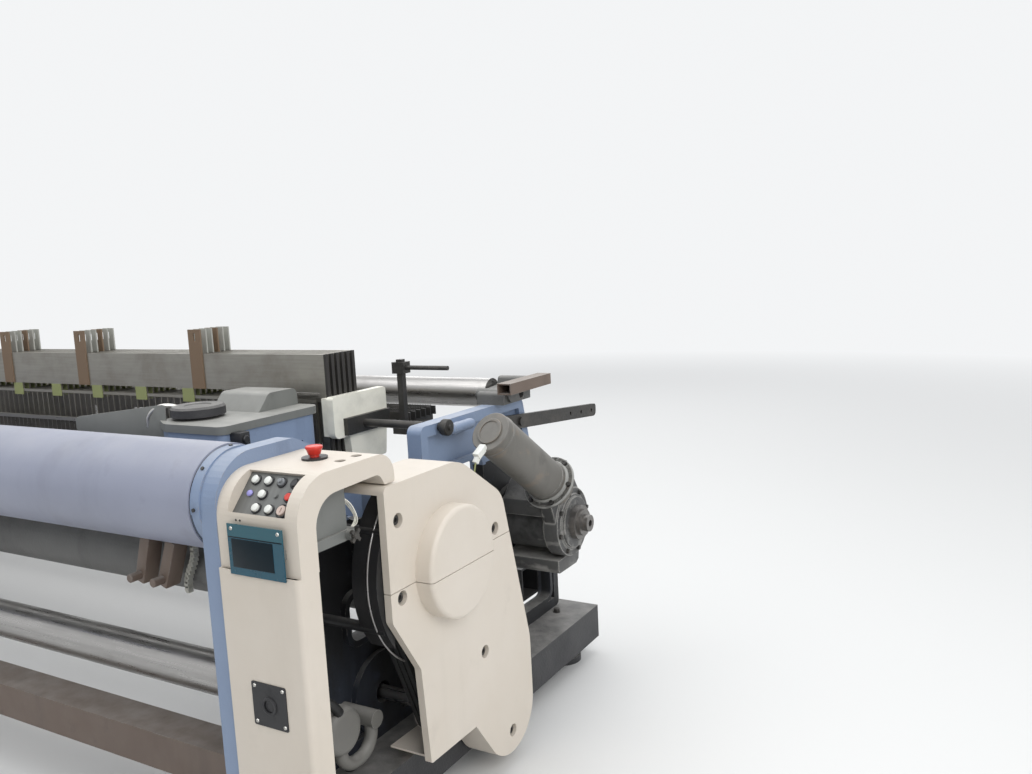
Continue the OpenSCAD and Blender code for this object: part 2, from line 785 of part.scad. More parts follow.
module motor_pulley() color(bright_steel) translate([0, motor_y, motor_z]) {
    grooved_rim(motor_pulley_d, 20);
    rod_x(pulley_x, pulley_w, 0, 0, motor_pulley_d - 34);
    rod_x(in_x - 50, side_t + pulley_x - out_x + pulley_w + 50, 0, 0, motor_shaft_d);
}

// Outline of a belt round two pulleys, the big one at c1
function belt_loop(c1, r1, c2, r2) =
    let (d = c2 - c1, phi = atan2(d.y, d.x), beta = acos((r1 - r2) / norm(d)), n = 40)
    concat(
        [for (i = [0:n]) let (a = phi + beta + i * (360 - 2 * beta) / n) c1 + r1 * [cos(a), sin(a)]],
        [for (i = [0:n / 2]) let (a = phi - beta + i * 4 * beta / n) c2 + r2 * [cos(a), sin(a)]]);

module drive_belts() color(black) {
    a = [shaft_y, shaft_z];
    b = [motor_y, motor_z];
    low = slide_gap + 0.4 - belt_h;
    for (i = [0:belt_count - 1])
        along_x(groove_x(i) - belt_w / 2, belt_w) difference() {
            polygon(belt_loop(a, pulley_d / 2 + 1, b, motor_pulley_d / 2 + 1));
            polygon(belt_loop(a, pulley_d / 2 + low, b, motor_pulley_d / 2 + low));
        }
}

module main_motor() color(grey_iron) difference() {
    union() {
        along_x(in_x - motor_len, motor_len - 20) {
            translate([motor_y, motor_z]) circle(d = motor_d - 20);
            for (a = [0:15:345]) translate([motor_y, motor_z]) rotate(a)
                translate([motor_d / 2 - 14, -1.5]) square([14, 3]);
        }
        rod_x(in_x - 24, 24, motor_y, motor_z, motor_d + 20);
        rod_x(in_x - motor_len - 30, 60, motor_y, motor_z, motor_d);
        block(in_x - motor_len + 60, in_x - 90, motor_y - 50, motor_y + 50,
              motor_z + motor_d / 2 - 14, motor_z + motor_d / 2 + 40);
    }
    rod_x(in_x - 60, 60 + cut, motor_y, motor_z, motor_shaft_d + 2 * run_gap);
}

// Oil pump with a domed cap and its hose back to the casting

pump_y = 255;
pump_z = 333;
pump_d = 120;
hose_d = 34;
hose_bend = 55;
hose_run = 10;

module hose_bend_piece(turn) rotate([0, 90, 0]) rotate([0, 0, turn])
    rotate_extrude(angle = 90) translate([hose_bend, 0]) circle(d = hose_d);

module oil_pump() color(grey_iron) {
    x = out_x + 72;
    low_z = pump_z - pump_d / 2 + 6;
    rod_x(out_x - side_pocket, side_pocket + 60, pump_y, pump_z, pump_d - 24);
    translate([out_x + 60, front_y + pump_y, pump_z]) rotate([0, 90, 0]) rotate_extrude()
        polygon(concat([[0, 0], [pump_d / 2, 0], [pump_d / 2, 24]],
            [for (a = [0:15:90]) [pump_d / 2 - 16 + 16 * cos(a), 24 + 16 * sin(a)]], [[0, 40]]));
    translate([x, front_y + pump_y + hose_bend, low_z]) hose_bend_piece(270);
    translate([x, front_y + pump_y + hose_bend, low_z - hose_bend]) rotate([-90, 0, 0])
        cylinder(h = hose_run, d = hose_d);
    translate([x, front_y + pump_y + hose_bend + hose_run, low_z]) hose_bend_piece(0);
    translate([x, front_y + pump_y + 2 * hose_bend + hose_run, low_z]) cylinder(h = 30, d = hose_d);
    rod_x(out_x - side_pocket, side_pocket + 72 + hose_d / 2 + 6, pump_y + 2 * hose_bend + hose_run,
          low_z + 30, hose_d + 12);
}

// Weft units beside the sley

unit_in = sley_len / 2 + sley_gap;
unit_out = unit_in + unit_w;
unit_front = 310;
unit_rear = 680;
unit_floor = dip_z + 65;
lid_t = 22;
weft_y = 605;
projectile_l = 90;
projectile_w = 14;
projectile_h = 6;
channel_gap = slide_gap;

module projectile_channel(x0, x1) block(x0, x1,
    weft_y - projectile_w / 2 - channel_gap, weft_y + projectile_w / 2 + channel_gap,
    weft_z - projectile_h / 2 - channel_gap, weft_z + projectile_h / 2 + channel_gap);

module unit_casting() difference() {
    union() {
        translate([unit_in, front_y, unit_floor]) linear_extrude(unit_top_z - lid_t - unit_floor)
            polygon(rounded([[0, unit_front + 40, 20], [70, unit_front, 20], [unit_w, unit_front, 20],
                             [unit_w, unit_rear, 45], [0, unit_rear, 20]]));
        block(unit_in + 20, out_x, 490, 640, dip_z, unit_floor + cut);
    }
    projectile_channel(unit_in - cut, unit_out - 40);
    for (y = [450, 520, 600]) rod_x(unit_out - 12, 20, y, unit_top_z - 95, 9);
}

module receiving_unit() color(pale_blue) unit_casting();

module unit_lid() color(lid_grey) {
    translate([unit_in, front_y, unit_top_z - lid_t]) linear_extrude(lid_t)
        polygon(rounded([[-4, unit_front + 36, 20], [64, unit_front - 6, 24], [unit_w + 6, unit_front - 6, 26],
                         [unit_w + 6, unit_rear + 6, 40], [-4, unit_rear + 6, 20]]));
    hood = [[unit_front + 210, unit_top_z - cut, 0], [unit_rear, unit_top_z - cut, 0],
            [unit_rear - 4, unit_top_z + 50, 18], [unit_front + 255, unit_top_z + 50, 24]];
    along_x(unit_in + 10, 190) polygon(rounded(hood));
}

cap_d = 150;
cap_h = 28;

module cap_disc() color(dark_iron) translate([unit_in + 76, front_y + unit_front + 104, unit_top_z]) {
    cylinder(h = 8, d = cap_d * 0.6);
    translate([0, 0, 8 - cut / 4]) rotate_extrude() polygon([
        [0, 0], [cap_d / 2, 0], [cap_d / 2, cap_h - 6], [cap_d / 2 - 6, cap_h], [cap_d / 4, cap_h],
        [cap_d / 4 - 3, cap_h - 3], [0, cap_h - 3]]);
}

module picking_unit() color(pale_blue) mirror([1, 0, 0]) {
    unit_casting();
    translate([unit_in, front_y, unit_top_z - lid_t - cut]) linear_extrude(lid_t + cut)
        polygon(rounded([[-4, unit_front + 36, 20], [64, unit_front - 6, 24], [unit_w + 6, unit_front - 6, 26],
                         [unit_w + 6, unit_rear + 6, 40], [-4, unit_rear + 6, 20]]));
}

module projectile() color(bright_steel)
    translate([-unit_in - unit_w / 2, front_y + weft_y, weft_z])
        rotate([90, 0, 90]) linear_extrude(projectile_l, center = true) {
            w = projectile_w / 2;
            h = projectile_h / 2;
            polygon(rounded([[-w, -h, 2], [w, -h, 2], [w, h, 2], [-w, h, 2]]));
        }

// Healds

frame_count = 6;
bar_t = 9;
stile_w = 34;
rail_drop = 24;
rail_h = 10;
rail_t = 4;
clip_pitch = 240;
clip_w = 55;
clip_h = 46;
heald_wire = 3;
heald_low_bar = 60;
spacer_x = [195, 655, 1260];
spacer_w = 58;
spacer_rise = 80;
spacer_t = 4;

module heald_row(width, height, t) {
    n = floor(width / heald_step);
    pitch = width / n;
    linear_extrude(t, center = true) difference() {
        translate([-width / 2, 0]) square([width, height]);
        for (i = [0:n - 1])
            translate([-width / 2 + i * pitch + heald_wire / 2, rail_h])
                square([pitch - heald_wire, height - 2 * rail_h]);
    }
}

module heald_frame(i) {
    half = heald_len / 2;
    mid = heald_y + stile_t / 2 + (i - 1) * heald_pitch;
    bar_low = heald_top_z - heald_bar_h;
    bottom = heald_top_z - heald_h;
    rail_z = bar_low - rail_drop - rail_h;
    low_rail_z = bottom + heald_low_bar + rail_drop;
    clips = floor((half - 200) / clip_pitch);
    block(-half, half, mid - bar_t / 2, mid + bar_t / 2, bar_low, heald_top_z);
    block(-half, half, mid - bar_t / 2, mid + bar_t / 2, bottom, bottom + heald_low_bar);
    for (s = [-1, 1])
        block(s * (half - stile_w / 2) - stile_w / 2, s * (half - stile_w / 2) + stile_w / 2,
              mid - stile_t / 2, mid + stile_t / 2, bottom, heald_top_z);
    translate([0, front_y + mid, low_rail_z]) rotate([90, 0, 0])
        heald_row(heald_len - 2 * stile_w - 40, rail_z + rail_h - low_rail_z, rail_t);
    for (j = [-clips:clips]) {
        x = j * clip_pitch;
        block(x - clip_w / 2, x + clip_w / 2, mid - bar_t / 2, mid + bar_t / 2, bar_low - clip_h, bar_low + cut);
        block(x - clip_w / 2, x + clip_w / 2, mid - bar_t / 2, mid + bar_t / 2,
              bottom + heald_low_bar - cut, low_rail_z + rail_h);
    }
    for (s = [-1, 1], x = spacer_x) difference() {
        block(s * x - spacer_w / 2, s * x + spacer_w / 2, mid - bar_t / 2 - spacer_t, mid - bar_t / 2 + cut,
              bar_low, heald_top_z + spacer_rise);
        translate([s * x, front_y + mid, heald_top_z + spacer_rise - 26]) rotate([90, 0, 0])
            linear_extrude(30, center = true) polygon(rounded([[-5, -14, 4], [5, -14, 4], [5, 14, 4], [-5, 14, 4]]));
    }
}

module heald_frame_1() color(bar_grey) heald_frame(1);

module heald_frame_2() color(bar_grey) heald_frame(2);

module heald_frame_3() color(bar_grey) heald_frame(3);

module heald_frame_4() color(bar_grey) heald_frame(4);

module heald_frame_5() color(bar_grey) heald_frame(5);

module heald_frame_6() color(bar_grey) heald_frame(6);

// White guide plates at both ends of the heald frames, with a fin in each gap

guide_in = heald_len / 2 + slide_gap;
guide_t = 26;
guide_rear = heald_y + 240;
guide_top = heald_top_z - 128;
fin_reach = 20;
fin_low = 96;

guide_corners = [
    [heald_y - 14, guide_top - 128, 20], [heald_y + 52, guide_top - 128, 0],
    [heald_y + 62, guide_top - 216, 8], [guide_rear - 17, guide_top - 216, 8],
    [guide_rear, guide_top - 70, 0], [guide_rear, guide_top, 10], [heald_y - 14, guide_top, 10]
];

module heald_guides() color("ivory") both_sides() {
    along_x(guide_in, guide_t) polygon(rounded(guide_corners));
    for (i = [0:frame_count]) {
        fin = heald_pitch - stile_t - 2 * slide_gap;
        mid = heald_y + stile_t / 2 + (i - 0.5) * heald_pitch;
        block(guide_in - fin_reach, guide_in + cut, mid - fin / 2, mid + fin / 2, guide_top - 120, guide_top - 4);
    }
}

bracket_z = guide_top - fin_low;
carry_rod_d = 25;
carry_back = 112;

module guide_brackets() color(black) both_sides() {
    block(guide_in + guide_t, guide_in + guide_t + 16, heald_y + 28, guide_rear - 6, bracket_z - 26, bracket_z + 26);
    rod_x(guide_in + guide_t, in_x - guide_in - guide_t, heald_y + carry_back, bracket_z, carry_rod_d);
}

// Sley: rocking shaft, swords, beam and projectile guides

sley_w = 90;
sley_rear = 665;
sley_front = sley_rear - sley_w;
sley_low = dip_z;
sley_top = dip_z + 70;
reed_y = 634;
reed_t = 12;
reed_seat = 18;
sword_t = 20;
sword_pitch = 470;
sword_neck = 120;
rock_hub_d = rock_d + 30;

sword_corners = [
    [rock_y - 32, rock_z - 20, 0], [rock_y + 32, rock_z - 20, 0], [rock_y + 24, rock_z + sword_neck, 60],
    [sley_rear - 4, sley_low + cut, 0], [sley_front + 20, sley_low + cut, 0], [rock_y - 44, rock_z + sword_neck, 80]
];

module sley() color(grey_iron) {
    rod_x(-out_x, 2 * out_x, rock_y, rock_z, rock_d);
    for (i = [-3:3]) {
        x = i * sword_pitch - sword_t / 2;
        along_x(x, sword_t) polygon(rounded(sword_corners));
        rod_x(x - 20, sword_t + 40, rock_y, rock_z, rock_hub_d);
    }
    difference() {
        block(-sley_len / 2, sley_len / 2, sley_front, sley_rear, sley_low, sley_top);
        block(-sley_len / 2 - cut, sley_len / 2 + cut, sley_front + 8, sley_rear - 8,
              sley_low + 8, sley_top - reed_seat - 8);
        block(-sley_len / 2 - cut, sley_len / 2 + cut, reed_y, reed_y + reed_t, sley_top - reed_seat, sley_top + cut);
    }
    guides = floor((sley_len / 2 - 20) / guide_step);
    for (i = [-guides:guides]) along_x(i * guide_step - 2, 4) difference() {
        translate([sley_front + 12, sley_top - cut])
            square([reed_y - 8 - sley_front - 12, weft_z + 14 - sley_top + cut]);
        translate([weft_y - projectile_w / 2 - channel_gap, weft_z - projectile_h / 2 - channel_gap])
            square([projectile_w + 2 * channel_gap, projectile_h + 2 * channel_gap]);
        translate([sley_front, weft_z - 1.5]) square([weft_y - sley_front, 3]);
    }
}

module reed() color(bright_steel) {
    low = sley_top - reed_seat;
    n = floor((sley_len - 20) / reed_step);
    pitch = (sley_len - 20) / n;
    difference() {
        block(-sley_len / 2, sley_len / 2, reed_y, reed_y + reed_t, low, low + reed_h);
        block(-sley_len / 2 - cut, sley_len / 2 + cut, reed_y - cut, reed_y + 3, low + reed_seat + 8, low + reed_h - 12);
        block(-sley_len / 2 - cut, sley_len / 2 + cut, reed_y + reed_t - 3, reed_y + reed_t + cut,
              low + reed_seat + 8, low + reed_h - 12);
        translate([0, front_y + reed_y + reed_t / 2, 0]) rotate([90, 0, 0])
            linear_extrude(reed_t * 2, center = true)
                for (i = [0:n - 1])
                    translate([10 - sley_len / 2 + i * pitch + 1, low + reed_seat + 8])
                        square([pitch - 2, reed_h - reed_seat - 20]);
    }
}

// Rollers

module plain_roller(y, z, d, pin_d, end_gap) {
    rod_x(end_gap - in_x, 2 * (in_x - end_gap), y, z, d);
    rod_x(-out_x, 2 * out_x, y, z, pin_d);
}

module takeup_roller() color(grey_iron) plain_roller(takeup_y, takeup_z, takeup_d, roller_pin_d, 12);

module cloth_roller() color(bright_steel) plain_roller(cloth_y, cloth_z, cloth_d, roller_pin_d, 12);

rest_pin_d = 30;
rest_end_gap = 30;
bracket_in = in_x - 20;
bracket_out = out_x + 34;

module backrest_roller() color(bright_steel) {
    rod_x(rest_end_gap - in_x, 2 * (in_x - rest_end_gap), rest_y, rest_z, rest_d);
    rod_x(-out_x, 2 * out_x, rest_y, rest_z, rest_pin_d);
}

lever_pin_d = 16;
lever_y = rest_y + 44;
lever_z = side_back_z + 62;

rest_bracket_corners = [
    [rest_y - 118, side_back_z, 0], [rest_y + 60, side_back_z, 0], [rest_y + 62, lever_z + 14, 14],
    [rest_y + 26, lever_z + 14, 14], [rest_y + 18, rest_z + 26, 10], [rest_y - 110, rest_z + 18, 16]
];

module backrest_brackets() color(grey_iron) both_sides() difference() {
    union() {
        along_x(bracket_in, bracket_out - bracket_in) polygon(rounded(rest_bracket_corners));
        rod_x(bracket_in - 16, bracket_out - bracket_in + 26, rest_y - 76, side_back_z + 26, 44);
    }
    rod_x(bracket_in - cut, bracket_out - bracket_in + 2 * cut, rest_y, rest_z, rest_pin_d + 2 * run_gap);
    rod_x(bracket_in - cut, bracket_out - bracket_in + 2 * cut, lever_y, lever_z, lever_pin_d + 2 * run_gap);
}

lever_len = 270;
lever_w = 50;
lever_h = 36;

module tension_lever() color(brown) {
    x0 = bracket_out + 14;
    difference() {
        block(x0, x0 + lever_w, lever_y + 50 - lever_len, lever_y + 50, lever_z - lever_h / 2, lever_z + lever_h / 2);
        block(x0 + 4, x0 + lever_w - 4, lever_y + 50 - lever_len - cut, lever_y - 40,
              lever_z - lever_h / 2 + 4, lever_z + lever_h / 2 - 4);
    }
    rod_x(bracket_in, x0 - bracket_in + cut, lever_y, lever_z, lever_pin_d);
}

arm_t = 14;
arm_h = 48;
arm_end = loom_depth - trim;

arm_corners = [
    [rest_y - 95, side_back_z - 90, 20], [arm_end, side_back_z - 158, 20],
    [arm_end, side_back_z - 158 + arm_h, 12], [rest_y - 95, side_back_z - 90 + arm_h, 20]
];

module rear_arms() color(grey_iron) both_sides() {
    difference() {
        along_x(out_x, arm_t) polygon(rounded(arm_corners));
        for (y = [arm_end - 40, arm_end - 130, arm_end - 220])
            rod_x(out_x - cut, arm_t + 2 * cut, y, side_back_z - 158 + arm_h / 2 + (arm_end - y) * 0.092, 14);
    }
    for (y = [rest_y - 60, rest_y + 20])
        rod_x(out_x - side_pocket, side_pocket + arm_t + 8, y, side_back_z - 70 - (y - rest_y + 60) * 0.092, 30);
}

// Let-off: motor, worm gearbox and output hub on the axis of the warp beam seat

letoff_foot_x = out_x + 222;
letoff_foot_y = beam_y - 159;
letoff_foot_z = beam_z + 196;
letoff_tilt = 51.3;
letoff_turn = 242.2;
gear_in = out_x + 110;
gear_out = out_x + 228;
gear_d = 226;
hub_shaft_d = 60;
motor_flange_t = 14;
gear_neck = [
    [beam_y - gear_d / 2 + 4, beam_z, 0], [beam_y + 20, beam_z + gear_d / 2 - 4, 0],
    [letoff_foot_y + 110, letoff_foot_z + 6, 30], [letoff_foot_y - 10, letoff_foot_z - 90, 30]
];

// Children stand on the motor's foot, Z along the motor
module on_letoff() translate([letoff_foot_x, front_y + letoff_foot_y, letoff_foot_z])
    rotate([0, letoff_tilt, letoff_turn]) children();

module letoff_motor() color(grey_iron) on_letoff() {
    cylinder(h = letoff_len - 24, d = letoff_d);
    translate([0, 0, letoff_len - 24]) cylinder(h = 24, d = letoff_d - 4);
    translate([0, 0, letoff_len]) difference() {
        cylinder(h = 6, d = letoff_d * 0.62);
        translate([0, 0, 3]) cylinder(h = 4, d = letoff_d * 0.5);
    }
    translate([letoff_d / 2 - 34, -9, letoff_len]) cube([34, 18, 26]);
}

module letoff_gearbox() color(grey_iron) difference() {
    union() {
        on_letoff() translate([0, 0, -motor_flange_t]) cylinder(h = motor_flange_t, d = letoff_d + 40);
        on_letoff() translate([0, 0, -50]) cylinder(h = 50, d = letoff_d + 14);
        along_x(gear_in + 20, gear_out - gear_in - 20) polygon(rounded(gear_neck));
        rod_x(gear_in, gear_out - gear_in, beam_y, beam_z, gear_d);
        rod_x(gear_out - cut, 12 + cut, beam_y, beam_z, gear_d - 60);
        rod_x(out_x, gear_in - out_x + cut, beam_y, beam_z, beam_boss_d - 20);
    }
    rod_x(out_x - cut, cover_reach + 100, beam_y, beam_z, hub_shaft_d + 2 * run_gap);
    rod_x(out_x - cut, gear_in - out_x - 20, beam_y, beam_z, beam_bore);
}

module letoff_hub() color(bright_steel) difference() {
    union() {
        rod_x(out_x, gear_out + 12 - out_x + cut, beam_y, beam_z, hub_shaft_d);
        rod_x(gear_out + 12 + slide_gap, 20, beam_y, beam_z, 112);
        rod_x(gear_out + 30, 14, beam_y, beam_z, 84);
        rod_x(gear_out + 40, 22, beam_y, beam_z, 54);
    }
    rod_x(gear_out + 40, 30, beam_y, beam_z, 22);
}

// Warp stop motion: contact bars in two combs, and a post with a cross rod

bars = 6;
bar_pitch = 28;
bars_y = heald_y + 262;
post_y = heald_y + 232;
bars_z = side_back_z - 26;
bar_end = in_x - 160;
comb_t = 10;

module stop_motion_bars() color(grey_iron) {
    for (i = [0:bars - 1])
        block(-bar_end, bar_end, bars_y + i * bar_pitch, bars_y + i * bar_pitch + 5, bars_z - 4, bars_z + 24);
    both_sides() {
        block(bar_end - 40, bar_end - 40 + comb_t, bars_y - 20, bars_y + bars * bar_pitch, bars_z - 40, bars_z);
        block(bar_end - 40, in_x, bars_y + 40, bars_y + 80, bars_z - 40, bars_z - 12);
        block(bar_end - 10, bar_end + 10, post_y - 10, post_y + 10, bars_z - 40, heald_top_z - 40);
        block(bar_end - 40, bar_end + 10, post_y - 10, bars_y, bars_z - 40, bars_z - 20);
        block(bar_end - 22, bar_end + 22, post_y - 18, post_y + 20, heald_top_z - 84, heald_top_z - 48);
        rod_x(bar_end, 180, post_y, heald_top_z - 66, 14);
    }
}

side_frame_right();
side_frame_left();
base_right();
base_left();
breast_tube();
front_beam();
rear_beam();
flange_bolts();
column_panel();
control_arch();
keypad_plate();
display_window();
terminal_box();
socket_plate();
push_button(0, "white");  // start_button
push_button(1, "white");  // inch_button
push_button(2, "dimgray");  // lamp_button
push_button(3, "white");  // reverse_button
push_button(4, "white");  // pick_button
push_button(5, red);  // stop_button
push_button(6, "white");  // feed_button
push_button(7, "white");  // reset_button
key_switch();
estop_ring();
estop_button();
cover_upper();
cover_lower();
left_cover();
cover_bolts();
pulley_guard();
flywheel_pulley();
main_motor();
motor_pulley();
drive_belts();
oil_pump();
receiving_unit();
unit_lid();
cap_disc();
picking_unit();
heald_guides();
guide_brackets();
heald_frame_1();
heald_frame_2();
heald_frame_3();
heald_frame_4();
heald_frame_5();
heald_frame_6();
sley();
reed();
takeup_roller();
cloth_roller();
backrest_roller();
backrest_brackets();
tension_lever();
rear_arms();
letoff_motor();
letoff_gearbox();
letoff_hub();
stop_motion_bars();
projectile();
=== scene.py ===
# %% [markdown]
# # A wide projectile power loom
# The machine itself comes packed from its construction file. Here it gets its camera, its light, its
# finishes, and the fine pieces that a construction model leaves out. The frame is loaded first, and its
# box is kept.

# %% Load the frame
import json
import math

import bmesh
import bpy
from mathutils import Matrix, Vector


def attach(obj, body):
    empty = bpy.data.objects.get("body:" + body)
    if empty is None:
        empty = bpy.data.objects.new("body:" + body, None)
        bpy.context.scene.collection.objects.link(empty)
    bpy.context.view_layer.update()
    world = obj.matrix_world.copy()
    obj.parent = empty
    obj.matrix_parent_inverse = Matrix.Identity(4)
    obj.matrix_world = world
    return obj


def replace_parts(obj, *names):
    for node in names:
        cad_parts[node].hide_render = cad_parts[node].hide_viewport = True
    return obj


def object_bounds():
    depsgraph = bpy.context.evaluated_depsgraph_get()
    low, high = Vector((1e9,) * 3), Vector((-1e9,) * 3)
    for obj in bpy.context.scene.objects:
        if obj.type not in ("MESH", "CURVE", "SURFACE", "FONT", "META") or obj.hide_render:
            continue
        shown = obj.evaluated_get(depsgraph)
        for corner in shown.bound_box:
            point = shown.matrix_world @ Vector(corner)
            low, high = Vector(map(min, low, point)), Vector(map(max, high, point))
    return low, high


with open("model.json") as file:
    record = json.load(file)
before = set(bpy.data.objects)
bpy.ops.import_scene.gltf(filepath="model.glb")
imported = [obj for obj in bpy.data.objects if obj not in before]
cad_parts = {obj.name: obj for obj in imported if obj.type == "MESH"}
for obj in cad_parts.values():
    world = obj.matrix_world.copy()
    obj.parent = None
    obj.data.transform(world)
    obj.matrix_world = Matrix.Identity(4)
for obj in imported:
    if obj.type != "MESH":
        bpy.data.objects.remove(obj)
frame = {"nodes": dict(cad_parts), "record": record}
nodes = frame["nodes"]
cad_box = [list(corner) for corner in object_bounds()]
DISPLAY_PROUD = 0.004  # the display stands this far in front of the machine's own front
FRONT = cad_box[0][1] + DISPLAY_PROUD
print("nodes:", len(nodes), "box:", cad_box)

# %% [markdown]
# ## Camera
# The loom was seen by someone standing off its right front corner, a little above the covers, with the
# camera slightly tilted. Position, turn and focal length were found from the machine's own straight
# edges, and they are written here as plain numbers. No camera helper is used, because the numbers are
# known already.

# %% Camera
CAMERA_X, CAMERA_AHEAD, CAMERA_Z = 3.6826, 1.3198, 1.4442
CAMERA_TURN = (82.298, 2.940, 29.981)
FOCAL_LENGTH, FILM_WIDTH = 31.84, 36

camera_data = bpy.data.cameras.new("camera")
camera = bpy.data.objects.new("camera", camera_data)
bpy.context.scene.collection.objects.link(camera)
camera.location = (CAMERA_X, cad_box[0][1] - CAMERA_AHEAD, CAMERA_Z)
camera.rotation_euler = [math.radians(angle) for angle in CAMERA_TURN]
camera_data.lens = FOCAL_LENGTH
camera_data.sensor_width = FILM_WIDTH
camera_data.clip_start = 0.05
camera_data.clip_end = 200
bpy.context.scene.camera = camera
print("camera at", [round(value, 3) for value in camera.location])

# %% [markdown]
# ## A pale surround
# A studio has a pale surround that glossy metal can reflect, and a softer, slightly blue light on
# everything else. Light Path does both without a picture of a sky: the camera and reflections see the
# haze, and matt surfaces get the tint.

# %% Surround
SCENE = bpy.context.scene
SCENE.view_settings.view_transform = "Standard"
HAZE = (0.90, 0.91, 0.92)
SKY_TINT, SKY_STRENGTH = (0.93, 0.96, 1.0), 0.54


def node(tree, kind, inputs=None, **settings):
    """Add a node, set its properties, and set or link its inputs by name or number."""
    made = tree.nodes.new(kind)
    for key, value in settings.items():
        setattr(made, key, value)
    for key, value in (inputs or {}).items():
        if isinstance(value, bpy.types.NodeSocket):
            tree.links.new(value, made.inputs[key])
        else:
            made.inputs[key].default_value = value
    return made


def flat_colour(rgb):
    return (*rgb, 1.0)


def math_node(tree, operation, a, b):
    return node(tree, "ShaderNodeMath", {0: a, 1: b}, operation=operation).outputs[0]


world = bpy.data.worlds.new("studio")
world.use_nodes = True
SCENE.world = world
sky = world.node_tree
sky.nodes.clear()
rays = node(sky, "ShaderNodeLightPath").outputs
seen = math_node(sky, "MAXIMUM", rays["Is Camera Ray"], rays["Is Glossy Ray"])
ambient = node(sky, "ShaderNodeBackground", {"Color": flat_colour(SKY_TINT), "Strength": SKY_STRENGTH})
pale = node(sky, "ShaderNodeBackground", {"Color": flat_colour(HAZE), "Strength": 1.0})
mixed = node(sky, "ShaderNodeMixShader", {0: seen, 1: ambient.outputs[0], 2: pale.outputs[0]})
node(sky, "ShaderNodeOutputWorld", {"Surface": mixed.outputs[0]})
print("surround strength:", SKY_STRENGTH)

# %% [markdown]
# ## Lamps
# Large soft lamps hang high up, as skylights would. Small lamps would draw hard lines on the long
# cylinders, and large ones give them a soft band of light.

# %% Lamps
LAMPS = (("skylight", (0.5, -0.4, 6.0), (0, 0, 0.6), (9, 5), 275),
         ("side_light", (7.0, -2.6, 4.2), (1.4, 0, 0.6), (5, 4), 215),
         ("back_light", (-2.0, 6.0, 4.0), (0, 0, 0.8), (8, 3), 120))
for name, place, aim, size, power in LAMPS:
    lamp = bpy.data.lights.new(name, "AREA")
    lamp.shape = "RECTANGLE"
    lamp.size, lamp.size_y = size
    lamp.energy = power
    hung = bpy.data.objects.new(name, lamp)
    hung.location = place
    hung.rotation_euler = (Vector(aim) - Vector(place)).to_track_quat("-Z", "Y").to_euler()
    SCENE.collection.objects.link(hung)
print("lamps:", [row[0] for row in LAMPS])

# %% [markdown]
# ## Floor
# The floor runs far out, and beyond a few metres it fades into the haze, so that no horizon line cuts
# behind the machine. A curved backdrop would do this from one side only. The fade goes by distance from
# the middle, so it works from all round.

# %% Floor
FLOOR_REACH = 80
FADE_START, FADE_END = 4.0, 11.0

floor_mesh = bpy.data.meshes.new("floor")
floor_mesh.from_pydata([(sx * FLOOR_REACH, sy * FLOOR_REACH, 0)
                        for sx, sy in ((-1, -1), (1, -1), (1, 1), (-1, 1))], [], [(0, 1, 2, 3)])
floor = bpy.data.objects.new("floor", floor_mesh)
SCENE.collection.objects.link(floor)
floor_finish = bpy.data.materials.new("pale_floor")
floor_finish.use_nodes = True
floor_tree = floor_finish.node_tree
floor_shader = floor_tree.nodes["Principled BSDF"]
floor_shader.inputs["Base Color"].default_value = flat_colour((0.74, 0.74, 0.73))
floor_shader.inputs["Roughness"].default_value = 0.7
floor_mesh.materials.append(floor_finish)
floor_place = node(floor_tree, "ShaderNodeTexCoord").outputs["Object"]
distance = node(floor_tree, "ShaderNodeVectorMath", {0: floor_place}, operation="LENGTH").outputs["Value"]
far_off = node(floor_tree, "ShaderNodeMapRange", {"Value": distance, "From Min": FADE_START,
                                                  "From Max": FADE_END}).outputs[0]
to_camera = node(floor_tree, "ShaderNodeLightPath").outputs["Is Camera Ray"]
fade = math_node(floor_tree, "MULTIPLY", far_off, to_camera)
haze = node(floor_tree, "ShaderNodeEmission", {"Color": flat_colour(HAZE), "Strength": 1.0})
faded = node(floor_tree, "ShaderNodeMixShader", {0: fade, 1: floor_shader.outputs[0], 2: haze.outputs[0]})
floor_tree.links.new(faded.outputs[0], floor_tree.nodes["Material Output"].inputs["Surface"])
print("floor fades from", FADE_START, "to", FADE_END, "m")

# %% [markdown]
# ## Noise, ramps and mixes
# Every finish below is built from the same few steps: noise in the object's own coordinates, a ramp that
# turns noise into a mask, and a mix. Small helpers keep each finish down to one readable list of layers.

# %% Layers
def start_material(name):
    made = bpy.data.materials.new(name)
    made.use_nodes = True
    tree = made.node_tree
    tree.nodes.clear()
    shader = node(tree, "ShaderNodeBsdfPrincipled")
    node(tree, "ShaderNodeOutputMaterial", {"Surface": shader.outputs[0]})
    place = node(tree, "ShaderNodeTexCoord")
    return made, tree, shader, place


def noise(tree, place, scale, detail, stretch=(1, 1, 1), offset=0.0):
    laid = node(tree, "ShaderNodeMapping", {"Vector": place.outputs["Object"], "Scale": stretch,
                                            "Location": (offset, offset, offset)})
    return node(tree, "ShaderNodeTexNoise", {"Vector": laid.outputs[0], "Scale": scale,
                                             "Detail": detail, "Roughness": 0.6}).outputs["Fac"]


def ramp(tree, value, low, high, out_low=0.0, out_high=1.0):
    return node(tree, "ShaderNodeMapRange", {"Value": value, "From Min": low, "From Max": high,
                                             "To Min": out_low, "To Max": out_high}).outputs[0]


def mix_colour(tree, amount, a, b):
    made = node(tree, "ShaderNodeMix", {"Factor": amount}, data_type="RGBA")
    for key, value in ((6, a), (7, b)):
        if isinstance(value, bpy.types.NodeSocket):
            tree.links.new(value, made.inputs[key])
        else:
            made.inputs[key].default_value = flat_colour(value)
    return made.outputs[2]


def mix_value(tree, amount, a, b):
    return node(tree, "ShaderNodeMix", {"Factor": amount, 2: a, 3: b}, data_type="FLOAT").outputs[0]


